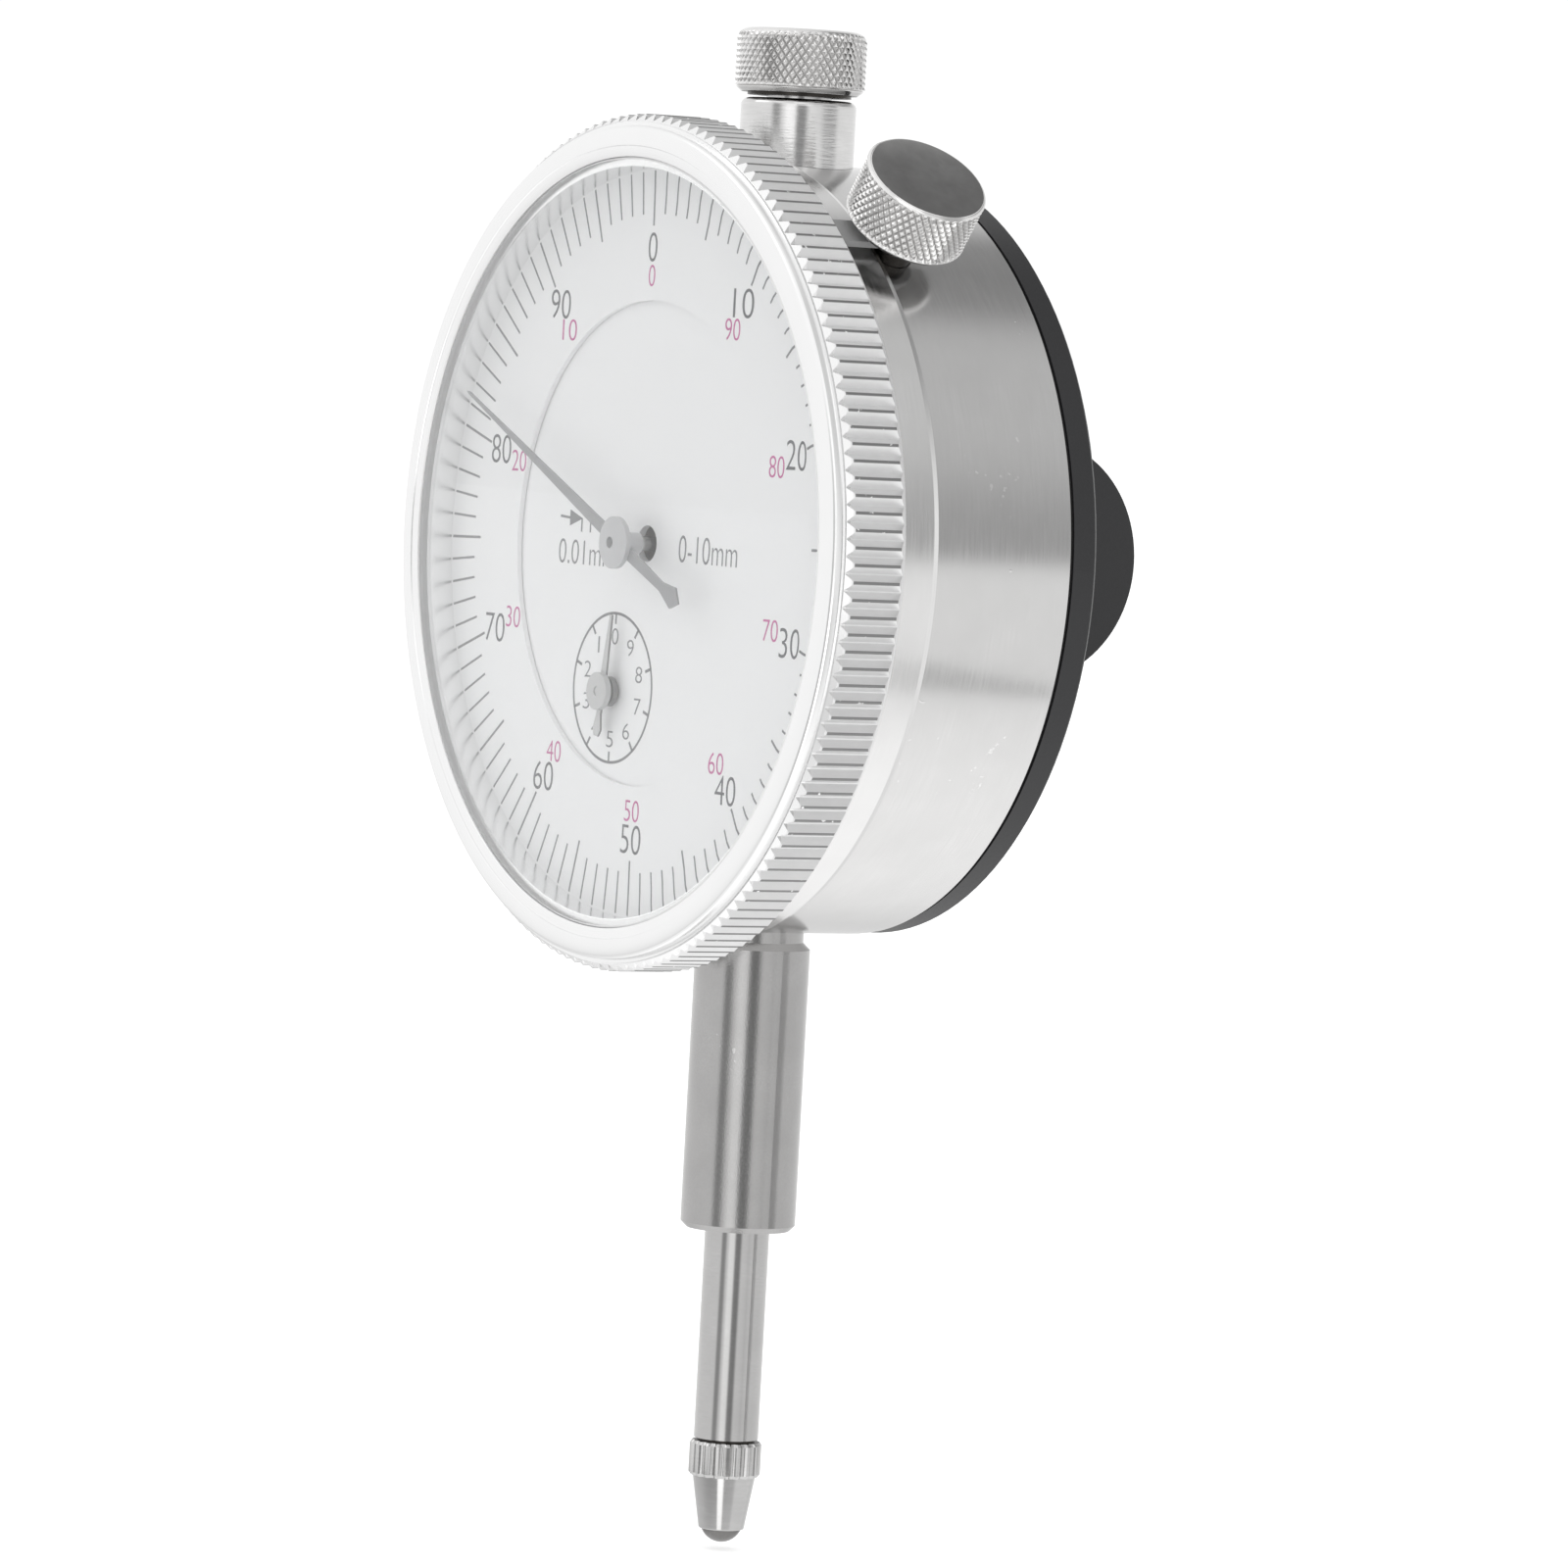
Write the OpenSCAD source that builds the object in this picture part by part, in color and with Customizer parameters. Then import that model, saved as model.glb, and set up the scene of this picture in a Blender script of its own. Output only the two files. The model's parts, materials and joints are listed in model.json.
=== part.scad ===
// Plunger dial indicator, 0.01 mm graduations, 10 mm travel.
// Frame: millimetres, +Z up along the plunger, the dial faces -Y,
// and the origin lies on the stem's axis at the middle of the stem.

/* [Stem and plunger] */
// Diameter of the clamping stem
stem_d = 8; // [7.9:0.05:8.1]
// Length of stem that shows below the case
stem_len = 20.7; // [16:0.1:24]
// Diameter of the plunger
spindle_d = 4.5; // [4.3:0.05:4.6]
// Length of plunger that shows below the stem at rest
spindle_out = 14.66; // [12:0.02:18]
// Length of the contact point, collar to ball
contact_len = 7.33; // [6.5:0.01:9]
// Diameter of the contact point's fluted collar
collar_d = 5.04; // [4.8:0.02:5.4]
// Full travel of the plunger
travel = 10.4; // [8:0.1:10.6]

/* [Case] */
// Outer diameter of the case
case_d = 53.28; // [53:0.02:53.6]
// Diameter of the raised band behind the bezel
band_d = 54.6; // [54:0.1:55]
// Thickness of the case wall
wall = 2.44; // [2.2:0.02:2.6]
// Distance from the plunger's axis to the back rim of the case
back_depth = 6.75; // [6.5:0.05:8]
// Height of the sleeve above the case
sleeve_len = 4.42; // [3.5:0.02:6]
// Thickness of the back cover
cover_t = 2; // [1.6:0.1:2.6]

/* [Bezel and dial] */
// Outer diameter over the bezel's grip teeth
bezel_d = 58.74; // [58:0.02:59.5]
// Number of grip teeth on the bezel
bezel_teeth = 160; // [120:1:180]
// Diameter of the printed dial ring
dial_d = 52.4; // [52.2:0.1:52.5]
// Diameter of the opening in the dial ring
dial_hole_d = 33.32; // [32:0.02:34]
// Length of the main pointer from its axis to its tip
pointer_len = 23.4; // [21:0.1:24]
// Length of the small pointer from its axis to its tip
small_pointer_len = 5.35; // [4:0.05:5.4]
// Angle of the main pointer at rest, counter-clockwise from the top
pointer_rest = 65.7; // [0:0.1:360]
// Angle of the small pointer at rest, counter-clockwise from the top
small_rest = -8; // [-20:0.5:20]

/* [Lug and clamp] */
// Thickness of the back lug
lug_t = 5; // [4:0.1:6]
// Diameter of the hole in the lug
lug_hole_d = 6.5; // [6:0.1:7]
// Distance from the plunger's axis to the lug hole's centre
lug_y = 20.1; // [18:0.1:24]
// Radius of the lug's rounded end
lug_r = 8.48; // [7:0.01:9]
// Diameter of the bezel clamp knob
knob_d = 8.6; // [8:0.1:9]
// Height of the bezel clamp knob
knob_h = 4.5; // [3:0.1:5]
// Angle of the clamp knob, clockwise from the top
knob_angle = 39; // [30:1:50]

/* [Gear train] */
// Rack pitch, so that ten millimetres are one turn of the sixteen-tooth pinion
rack_pitch = 0.625; // [0.6:0.005:0.65]
// Share of the tooth pitch that is tooth
tooth_share = 0.45; // [0.4:0.01:0.46]
// Teeth on the rack pinion
rack_pinion_teeth = 16; // [16:1:16]
// Teeth on the centre pinion
centre_pinion_teeth = 10; // [10:1:10]
// Teeth on the large and take-up gears
wheel_teeth = 100; // [100:1:100]

/* [Hidden] */

$fn = 96;
eps = 0.01;

stem_r = stem_d / 2;
spindle_r = spindle_d / 2;
case_r = case_d / 2;
band_r = band_d / 2;
bore_r = case_r - wall;
dial_z = stem_len / 2 + case_r;
stem_bottom = -stem_len / 2;
run_gap = 0.05;

// Stations along the dial's axis, forward of the plunger's axis
band_back = 5.1;
band_front = 7.7;
partition_back = 8.35;
partition_front = 9.35;
spigot_front = 9.8;
spigot_r = 26.14;
dial_front = 10.25;
dial_t = 0.35;
disc_front = 9.85;
bezel_back = 7.8;
grip_back = 8.55;
grip_front = 12.55;
crystal_seat = 12.25;
lip_front = 13.45;
lip_r = 26.4;
window_r = 25.72;
crystal_t = 1;
crystal_rise = 1.05;
pointer_back = 12.08;
pointer_t = 0.15;
hub_tube_r = 0.75;
plate_t = 1;
plate_r = 19.6;
front_plate_back = partition_back - plate_t;
spring_level = 6.3;
wheel_back = 4.8;
wheel_t = 0.8;
bridge_back = 3;
back_plate_front = -4.6;
back_plate_t = 0.8;
gasket_t = 0.25;
cover_inside = -back_depth - gasket_t;
cover_back = cover_inside - cover_t;

// Gear train: sixteen teeth on the rack, then ten driven by a hundred
gear_module = rack_pitch / PI;
pressure_angle = 20;
mesh_distance = gear_module * (wheel_teeth + centre_pinion_teeth) / 2;
shaft_x = 3.5;
shaft_z = sqrt(mesh_distance * mesh_distance - shaft_x * shaft_x);
mesh_angle = atan2(shaft_z, shaft_x);
rack_pinion_r = gear_module * rack_pinion_teeth / 2;
rack_line = shaft_x - rack_pinion_r;
rack_addendum = 0.9 * gear_module;
rack_dedendum = 1.25 * gear_module;
rack_count = 26;
shaft_r = 0.6;
centre_shaft_r = 0.5;
bush_r = 1.2;

// Places of the posts and screws that hold the movement together
pillar_places = [[-14, 8], [14, -8], [16, 8]];
bridge_reach = 6.5;
bridge_places = [for (side = [-1, 1]) polar(bridge_reach, mesh_angle + side * 90)];
case_screw_places = [[-17, -1.5], [3, -17.2], [17.2, 2.5]];
cover_screw_r = 22.4;
cover_screw_angles = [45, 135, 225, 315];
pillar_r = 1.4;
screw_r = 0.6;
screw_head_r = 1.1;
screw_head_t = 0.6;
lug_screw_y = 5;
lug_screw_r = 0.7;
lug_screw_head_r = 1.4;
lug_screw_head_t = 0.7;

// Threaded ends of the plunger, and the ball in its point
contact_stud_r = 1.1;
contact_stud_len = 3.5;
cap_stud_r = 1.5;
cap_stud_len = 2.6;
ball_r = 1.5;

// Sockets of the stem and the upper sleeve in the case, and the neck at the top of the stem
socket_r = 3.5;
socket_inside = 21.3;
guide_bore_r = 3;
stem_neck = 1.05;

// Guide pin and return spring
pin_r = 0.7;
pin_z = dial_z;
pin_reach = 4.2;
hook_z = dial_z - 4;
hook_x = 5.2;
hook_r = 0.5;
post_z = dial_z - 17;
spring_r = 0.9;
spring_wire = 0.14;
spring_turns = 16;

// Bezel clamp
clamp_y = -2.7;
knob_base = 28.9;
shank_r = 1.5;
shoe_t = 0.95;
shoe_gap = 0.1;

// Puts children in the dial's own axes: x to the right, y up, z forward
module on_dial() {
    translate([0, 0, dial_z]) rotate([90, 0, 0]) children();
}

// Turns a profile of [radius, forward] points about the dial's axis
module dial_turned(profile) {
    on_dial() rotate_extrude($fn = 180) polygon(profile);
}

module dial_plate(outline_back, outline_front) {
    on_dial() translate([0, 0, outline_back]) linear_extrude(outline_front - outline_back) children();
}

module tube(inner_r, outer_r, height) {
    difference() {
        cylinder(r = outer_r, h = height);
        translate([0, 0, -1]) cylinder(r = inner_r, h = height + 2);
    }
}

// Half the angle of a gear tooth at a radius, from the involute curve
function involute(angle) = tan(angle) * 180 / PI - angle;
function base_r(teeth) = gear_module * teeth / 2 * cos(pressure_angle);
function tooth_half(r, teeth) = 180 * tooth_share / teeth + involute(pressure_angle)
    - involute(acos(base_r(teeth) / max(r, base_r(teeth))));
function polar(r, angle) = [r * cos(angle), r * sin(angle)];
function gear_radii(teeth, addendum) = let (
    pitch_r = gear_module * teeth / 2,
    root_r = pitch_r - 1.25 * gear_module,
    tip_r = pitch_r + addendum * gear_module,
    foot_r = max(root_r, base_r(teeth)))
    teeth > 50 ? [root_r, tip_r] : [root_r, foot_r, (foot_r + tip_r) / 2, tip_r];
function gear_outline(teeth, addendum) = let (radii = gear_radii(teeth, addendum)) [
    for (k = [0:teeth - 1]) each concat(
        [for (r = radii) polar(r, 360 * k / teeth - tooth_half(r, teeth))],
        [for (i = [len(radii) - 1:-1:0]) polar(radii[i], 360 * k / teeth + tooth_half(radii[i], teeth))])];

// Sweeps a round wire along a path of points, with closed ends
function unit(v) = v / norm(v);
function path_step(path, i) = unit(path[min(i + 1, len(path) - 1)] - path[max(i - 1, 0)]);
function wire_ring(path, i, r, sides) = let (
    along = path_step(path, i),
    side = unit(cross(along, [0.13, 1, 0.21])),
    other = cross(along, side))
    [for (s = [0:sides - 1]) path[i] + r * (cos(360 * s / sides) * side + sin(360 * s / sides) * other)];
module wire(path, r, sides = 5) {
    last = len(path) - 1;
    points = [for (i = [0:last]) each wire_ring(path, i, r, sides)];
    walls = [for (i = [0:last - 1]) for (s = [0:sides - 1]) let (n = (s + 1) % sides)
        [i * sides + s, i * sides + n, (i + 1) * sides + n, (i + 1) * sides + s]];
    start = [for (s = [sides - 1:-1:0]) s];
    end = [for (s = [0:sides - 1]) last * sides + s];
    polyhedron(points, concat([start], walls, [end]));
}

// ---- Case ----

module case_shell() {
    groove_back = 8.45;
    groove_front = 9.05;
    groove_r = 25.85;
    edge_rise = 0.17;
    edge_run = 0.45;
    dial_turned([
        [bore_r, -back_depth], [case_r - 0.1, -back_depth], [case_r, -back_depth + 0.1],
        [case_r, band_back], [band_r - edge_rise, band_back], [band_r, band_back + edge_run],
        [band_r, band_front],
        [spigot_r, band_front], [spigot_r, groove_back], [groove_r, groove_back],
        [groove_r, groove_front], [spigot_r, groove_front], [spigot_r, spigot_front],
        [24.6, spigot_front], [24.6, partition_front], [13, partition_front],
        [13, partition_back], [bore_r, partition_back]]);
}

module case_body() {
    boss_r = 5.4;
    boss_end = 25.5;
    ear_r = 1.8;
    color("silver") difference() {
        union() {
            case_shell();
            for (side = [-1, 1]) {
                translate([0, 0, dial_z + side * (socket_inside + boss_end) / 2])
                    cylinder(r = boss_r, h = boss_end - socket_inside, center = true);
            }
            for (angle = cover_screw_angles) {
                on_dial() rotate(angle) translate([cover_screw_r, 0, -back_depth])
                    linear_extrude(5) union() {
                        circle(r = ear_r);
                        translate([0, -ear_r]) square([3, 2 * ear_r]);
                    }
            }
        }
        translate([0, 0, dial_z - 30]) cylinder(r = socket_r, h = 60);
        translate([0, clamp_y, dial_z]) rotate([0, knob_angle, 0]) translate([0, 0, 20])
            cylinder(r = shank_r + run_gap, h = 12);
        for (angle = cover_screw_angles) {
            on_dial() rotate(angle) translate([cover_screw_r, 0, -back_depth - 1])
                cylinder(r = screw_r, h = 5);
        }
        for (place = case_screw_places) {
            on_dial() translate([place[0], place[1], 0]) cylinder(r = screw_r, h = 20);
        }
    }
}

module case_saddle() {
    on_dial() cylinder(r = case_r + eps, h = 20, center = true, $fn = 180);
}

module stem() {
    chamfer = 0.4;
    shoulder = -stem_bottom - stem_neck;
    color("gainsboro") difference() {
        rotate_extrude() polygon([[0, stem_bottom], [stem_r - chamfer, stem_bottom],
            [stem_r, stem_bottom + chamfer], [stem_r, shoulder],
            [socket_r, shoulder + stem_r - socket_r], [socket_r, dial_z - socket_inside],
            [0, dial_z - socket_inside]]);
        translate([0, 0, stem_bottom - 1]) cylinder(r = guide_bore_r, h = 60);
    }
}

module stem_bush() {
    color("darkgoldenrod") translate([0, 0, stem_bottom + 0.6]) tube(spindle_r + run_gap, guide_bore_r, 8);
}

module upper_sleeve() {
    fillet = 0.5;
    top = dial_z + case_r + sleeve_len;
    sleeve_r = 3.99;
    color("gainsboro") difference() {
        union() {
            difference() {
                rotate_extrude() polygon(concat(
                    [[0, top - sleeve_len - 1], [sleeve_r, top - sleeve_len - 1]],
                    [for (a = [0:15:90]) [sleeve_r - fillet * (1 - cos(a)), top - fillet * (1 - sin(a))]],
                    [[0, top]]));
                case_saddle();
            }
            translate([0, 0, dial_z + socket_inside]) cylinder(r = socket_r, h = 8);
        }
        translate([0, 0, dial_z + 15]) cylinder(r = guide_bore_r, h = 30);
    }
}

module upper_bush() {
    color("darkgoldenrod") translate([0, 0, dial_z + 22]) tube(spindle_r + run_gap, guide_bore_r, 8.2);
}

module cover_gasket() {
    color("black") dial_turned([[bore_r + 0.2, cover_inside], [case_r - 0.3, cover_inside],
        [case_r - 0.3, -back_depth], [bore_r + 0.2, -back_depth]]);
}

module back_cover() {
    cover_r = case_r - 0.1;
    edge = 0.3;
    color("dimgray") difference() {
        dial_turned([[0, cover_inside], [cover_r, cover_inside], [cover_r, cover_back + edge],
            [cover_r - edge, cover_back], [0, cover_back]]);
        for (angle = cover_screw_angles) {
            on_dial() rotate(angle) translate([cover_screw_r, 0, cover_back - 1]) {
                cylinder(r = screw_r + 0.1, h = 5);
                cylinder(r = 1.4, h = 1 + screw_head_t + 0.2);
            }
        }
        for (side = [-1, 1]) {
            on_dial() translate([0, side * lug_screw_y, cover_back - 1]) {
                cylinder(r = lug_screw_r + 0.1, h = 4);
                translate([0, 0, 1 + cover_t - lug_screw_head_t])
                    cylinder(r = lug_screw_head_r + 0.1, h = 2);
            }
        }
    }
}

// A slotted screw along z with its head's top at z = 0 and its shank below
module slotted_screw(shank_radius, head_radius, head_height, length) {
    difference() {
        union() {
            translate([0, 0, -head_height]) cylinder(r = head_radius, h = head_height, $fn = 32);
            translate([0, 0, -length]) cylinder(r = shank_radius, h = length - head_height / 2, $fn = 32);
        }
        translate([-head_radius - 1, -0.15, -head_height / 2]) cube([2 * head_radius + 2, 0.3, 2]);
    }
}

module cover_screws() {
    color("dimgray") for (angle = cover_screw_angles) {
        on_dial() rotate(angle) translate([cover_screw_r, 0, cover_back + 0.2]) rotate([180, 0, 0])
            slotted_screw(screw_r, 1.3, screw_head_t, 5);
    }
}

module lug() {
    color("dimgray") difference() {
        translate([-lug_t / 2, 0, dial_z]) rotate([90, 0, 90]) linear_extrude(lug_t) union() {
            translate([-cover_back, -lug_r]) square([lug_y + cover_back, 2 * lug_r]);
            translate([lug_y, 0]) circle(r = lug_r, $fn = 120);
        }
        translate([-10, lug_y, dial_z]) rotate([0, 90, 0]) cylinder(r = lug_hole_d / 2, h = 20);
        for (side = [-1, 1]) {
            on_dial() translate([0, side * lug_screw_y, cover_back - 3]) cylinder(r = lug_screw_r, h = 4);
        }
    }
}

module lug_screws() {
    color("gray") for (side = [-1, 1]) {
        on_dial() translate([0, side * lug_screw_y, cover_inside])
            slotted_screw(lug_screw_r, lug_screw_head_r, lug_screw_head_t, 4.5);
    }
}

// ---- Movement frame ----

module front_plate() {
    color("goldenrod") dial_plate(front_plate_back, partition_back) difference() {
        circle(r = plate_r);
        circle(r = bush_r);
        for (side = [-1, 1]) {
            translate([side * shaft_x, side * shaft_z]) circle(r = bush_r);
        }
        for (place = concat(case_screw_places, pillar_places, bridge_places)) {
            translate(place) circle(r = screw_r);
        }
    }
}

module back_plate() {
    color("goldenrod") dial_plate(back_plate_front - back_plate_t, back_plate_front) difference() {
        intersection() {
            circle(r = plate_r);
            translate([-18, -16]) square([36, 30]);
        }
        for (side = [-1, 1]) {
            translate([side * shaft_x, side * shaft_z]) circle(r = bush_r);
        }
        for (place = pillar_places) {
            translate(place) circle(r = screw_r);
        }
    }
}

module centre_bridge() {
    bar_r = 1.8;
    eye_r = 2.4;
    color("goldenrod") dial_plate(bridge_back, bridge_back + plate_t) difference() {
        union() {
            rotate(mesh_angle - 90) translate([-bridge_reach, -bar_r])
                square([2 * bridge_reach, 2 * bar_r]);
            for (place = bridge_places) {
                translate(place) circle(r = bar_r);
            }
            circle(r = eye_r);
        }
        circle(r = bush_r);
        for (place = bridge_places) {
            translate(place) circle(r = screw_r);
        }
    }
}

module pillars() {
    color("goldenrod") {
        for (place = pillar_places) {
            on_dial() translate([place[0], place[1], back_plate_front])
                tube(screw_r, pillar_r, front_plate_back - back_plate_front);
        }
        for (place = bridge_places) {
            on_dial() translate([place[0], place[1], bridge_back + plate_t])
                tube(screw_r, pillar_r, front_plate_back - bridge_back - plate_t);
        }
    }
}

module plate_screws() {
    color("silver") {
        for (place = case_screw_places) {
            on_dial() translate([place[0], place[1], front_plate_back - screw_head_t]) rotate([180, 0, 0])
                slotted_screw(screw_r, screw_head_r, screw_head_t, 2.4);
        }
        for (place = pillar_places) {
            on_dial() translate([place[0], place[1], back_plate_front - back_plate_t - screw_head_t])
                rotate([180, 0, 0]) slotted_screw(screw_r, screw_head_r, screw_head_t, 4);
        }
        for (place = bridge_places) {
            on_dial() translate([place[0], place[1], bridge_back - screw_head_t]) rotate([180, 0, 0])
                slotted_screw(screw_r, screw_head_r, screw_head_t, 4);
        }
    }
}

module pivot_bush(place, back, thickness, hole_r) {
    on_dial() translate([place[0], place[1], back]) tube(hole_r, bush_r, thickness);
}

module pivot_bushes() {
    color("peru") {
        pivot_bush([0, 0], front_plate_back, plate_t, centre_shaft_r + run_gap);
        pivot_bush([0, 0], bridge_back, plate_t, centre_shaft_r + run_gap);
        for (side = [-1, 1]) {
            pivot_bush([side * shaft_x, side * shaft_z], front_plate_back, plate_t, shaft_r + run_gap);
            pivot_bush([side * shaft_x, side * shaft_z], back_plate_front - back_plate_t,
                back_plate_t, shaft_r + run_gap);
        }
    }
}

// Grooved rail that keeps the plunger from turning and ends its travel
module guide_rail() {
    rail_front = -2.9;
    slot_half = pin_r + run_gap;
    slot_low = pin_z - dial_z - slot_half;
    slot_high = slot_low + travel + 2 * slot_half;
    color("silver") dial_plate(back_plate_front, rail_front) difference() {
        translate([-2.2, slot_low - 1.5]) square([4.4, slot_high - slot_low + 3]);
        translate([-slot_half, slot_low]) square([2 * slot_half, slot_high - slot_low]);
    }
}

module centre_disc() {
    color("whitesmoke") dial_plate(partition_front, disc_front) difference() {
        circle(r = 18, $fn = 180);
        circle(r = 1.26);
        translate([-shaft_x, -shaft_z]) circle(r = 0.85);
    }
}

// Flat spiral spring that takes up the play of the gear train
function spiral(inner_r, outer_r, turns, offset, steps) = [
    for (i = [0:steps]) let (t = i / steps)
        polar(inner_r + (outer_r - inner_r) * t + offset, 360 * turns * t)];

module hairspring() {
    strip = 0.07;
    coil_in = 1.35;
    coil_out = 5.6;
    coils = 9;
    steps = 216;
    color("steelblue") dial_plate(spring_level, spring_level + 0.5) translate([shaft_x, shaft_z])
        polygon(concat(spiral(coil_in, coil_out, coils, strip, steps),
            [for (i = [steps:-1:0]) spiral(coil_in, coil_out, coils, -strip, steps)[i]]));
}

module hairspring_stud() {
    color("silver") on_dial() translate([shaft_x + 5.67, shaft_z - 0.4, spring_level])
        cube([0.8, 0.8, front_plate_back - spring_level]);
}

module return_spring() {
    top = hook_z - 1.2;
    bottom = post_z + 1.2;
    steps = spring_turns * 10;
    color("steelblue") wire([for (i = [0:steps]) let (t = i / steps)
        [hook_x + spring_r * cos(360 * spring_turns * t), spring_r * sin(360 * spring_turns * t),
            bottom + (top - bottom) * t]], spring_wire);
}

module spring_post() {
    color("silver") translate([hook_x, 0, post_z]) rotate([90, 0, 0])
        translate([0, 0, back_plate_front]) cylinder(r = 0.5, h = 5.6, $fn = 32);
}

// ---- Bezel and dial ----

module grip_2d() {
    tip_r = bezel_d / 2;
    root_r = tip_r - 0.47;
    polygon([for (k = [0:bezel_teeth - 1]) for (part = [0, 0.5])
        polar(part == 0 ? tip_r : root_r, 360 * (k + part) / bezel_teeth)]);
}

module bezel_ring() {
    lip_flat_r = 27.2;
    lip_edge_r = 28.9;
    lip_round = 0.7;
    core_r = 28.75;
    seat_r = dial_d / 2 + 0.02;
    groove_r = seat_r + 0.32;
    color("white") union() {
        dial_turned(concat(
            [[seat_r, bezel_back], [28.6, bezel_back], [core_r, grip_back + 0.3],
                [core_r, grip_front - 0.3], [28.6, grip_front + 0.15]],
            [for (a = [0:15:90]) [lip_flat_r + (lip_edge_r - lip_flat_r) * cos(a),
                lip_front - lip_round + lip_round * sin(a)]],
            [[lip_r, lip_front], [lip_r, crystal_seat], [window_r, crystal_seat],
                [window_r, dial_front], [seat_r, dial_front], [seat_r, 9.1],
                [groove_r, 9.1], [groove_r, 8.4], [seat_r, 8.4]]));
        dial_plate(grip_back, grip_front) difference() {
            grip_2d();
            circle(r = 28, $fn = 180);
        }
    }
}

module crystal() {
    rim_r = lip_r - 0.02;
    dome_r = (rim_r * rim_r + crystal_rise * crystal_rise) / (2 * crystal_rise);
    centre = crystal_seat + crystal_t + crystal_rise - dome_r;
    color("lightblue", 0.3) on_dial() difference() {
        intersection() {
            translate([0, 0, crystal_seat]) cylinder(r = rim_r, h = 3, $fn = 180);
            translate([0, 0, centre]) sphere(r = dome_r, $fn = 180);
        }
        translate([0, 0, centre]) sphere(r = dome_r - crystal_t, $fn = 180);
    }
}

module dial_ring() {
    color("whitesmoke") dial_plate(dial_front - dial_t, dial_front) difference() {
        circle(r = dial_d / 2, $fn = 180);
        circle(r = dial_hole_d / 2, $fn = 180);
    }
}

// Open wire ring that snaps the bezel onto the case
module bezel_spring() {
    wire_r = 0.22;
    opening = 12;
    color("gray") on_dial() translate([0, 0, 8.75]) rotate(opening / 2)
        rotate_extrude(angle = 360 - opening, $fn = 180)
            translate([spigot_r + 0.12, 0]) circle(r = wire_r, $fn = 16);
}

// ---- Plunger ----

module spindle() {
    contact_z = stem_bottom - spindle_out;
    top = dial_z + case_r + sleeve_len + 0.2;
    rack_low = dial_z - shaft_z - travel - 3 * rack_pitch;
    rack_flat_len = 17.5;
    color("silver") difference() {
        union() {
            translate([0, 0, contact_z]) cylinder(r = spindle_r, h = top - contact_z);
            translate([0, 0, top - 1]) cylinder(r = cap_stud_r, h = cap_stud_len + 1);
        }
        translate([0, 0, contact_z - 1]) cylinder(r = contact_stud_r, h = contact_stud_len + 1.5);
        translate([-spindle_r - 1, -3, rack_low])
            cube([spindle_r + 1 - rack_line - rack_addendum, 6, rack_flat_len]);
        for (k = [1:rack_count]) {
            translate([-rack_line, 0, dial_z - shaft_z + (k - 19.5) * rack_pitch]) rotate([90, 0, 0])
                linear_extrude(6, center = true) polygon([
                    [-1, -rack_gap_half(-1)], [rack_dedendum, -rack_gap_half(rack_dedendum)],
                    [rack_dedendum, rack_gap_half(rack_dedendum)], [-1, rack_gap_half(-1)]]);
        }
        translate([0, -1, pin_z]) rotate([-90, 0, 0]) cylinder(r = pin_r, h = 5, $fn = 32);
        translate([-1, 0, hook_z]) rotate([0, 90, 0]) cylinder(r = hook_r, h = 5, $fn = 32);
    }
}

// Half the width of the gap between two rack teeth, at a depth below the pitch line
function rack_gap_half(depth) = rack_pitch * (1 - tooth_share) / 2 - depth * tan(pressure_angle);

module guide_pin() {
    color("dimgray") translate([0, -1, pin_z]) rotate([-90, 0, 0])
        cylinder(r = pin_r, h = pin_reach + 1, $fn = 32);
}

module spring_hook() {
    color("dimgray") translate([-1, 0, hook_z]) rotate([0, 90, 0])
        cylinder(r = hook_r, h = hook_x + 1.6, $fn = 32);
}

module contact_point() {
    flutes = 20;
    collar_h = 2.65;
    cone_top_r = 2.19;
    cone_end_r = 1.57;
    cone_end = 0.93;
    edge = 0.2;
    tip = stem_bottom - spindle_out - contact_len;
    color("silver") difference() {
        translate([0, 0, tip]) rotate_extrude() polygon([[0, cone_end], [cone_end_r, cone_end],
            [cone_top_r, contact_len - collar_h], [collar_d / 2 - edge, contact_len - collar_h],
            [collar_d / 2, contact_len - collar_h + edge], [collar_d / 2, contact_len - edge],
            [collar_d / 2 - edge, contact_len], [contact_stud_r, contact_len],
            [contact_stud_r, contact_len + contact_stud_len], [0, contact_len + contact_stud_len]]);
        for (k = [0:flutes - 1]) {
            rotate(360 * k / flutes) translate([collar_d / 2 + 0.12, 0, tip + contact_len - collar_h - 0.5])
                cylinder(r = 0.3, h = collar_h + 1, $fn = 24);
        }
        translate([0, 0, tip + ball_r]) sphere(r = ball_r, $fn = 48);
    }
}

module contact_ball() {
    color("gainsboro") translate([0, 0, stem_bottom - spindle_out - contact_len + ball_r])
        sphere(r = ball_r, $fn = 48);
}

module lifting_cap() {
    base = dial_z + case_r + sleeve_len + 0.2;
    neck_r = 3.59;
    cap_r = 4.52;
    cap_h = 4.6;
    fillet = 0.8;
    color("silver") translate([0, 0, base]) difference() {
        rotate_extrude() polygon(concat(
            [[0, 0], [neck_r, 0], [neck_r, 0.2], [cap_r - 0.5, 0.2], [cap_r, 0.7]],
            [for (a = [0:15:90]) [cap_r - fillet * (1 - cos(a)), cap_h - fillet * (1 - sin(a))]],
            [[0, cap_h]]));
        translate([0, 0, -1]) cylinder(r = cap_stud_r, h = cap_stud_len + 1);
    }
}

// ---- Gear train ----

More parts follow.
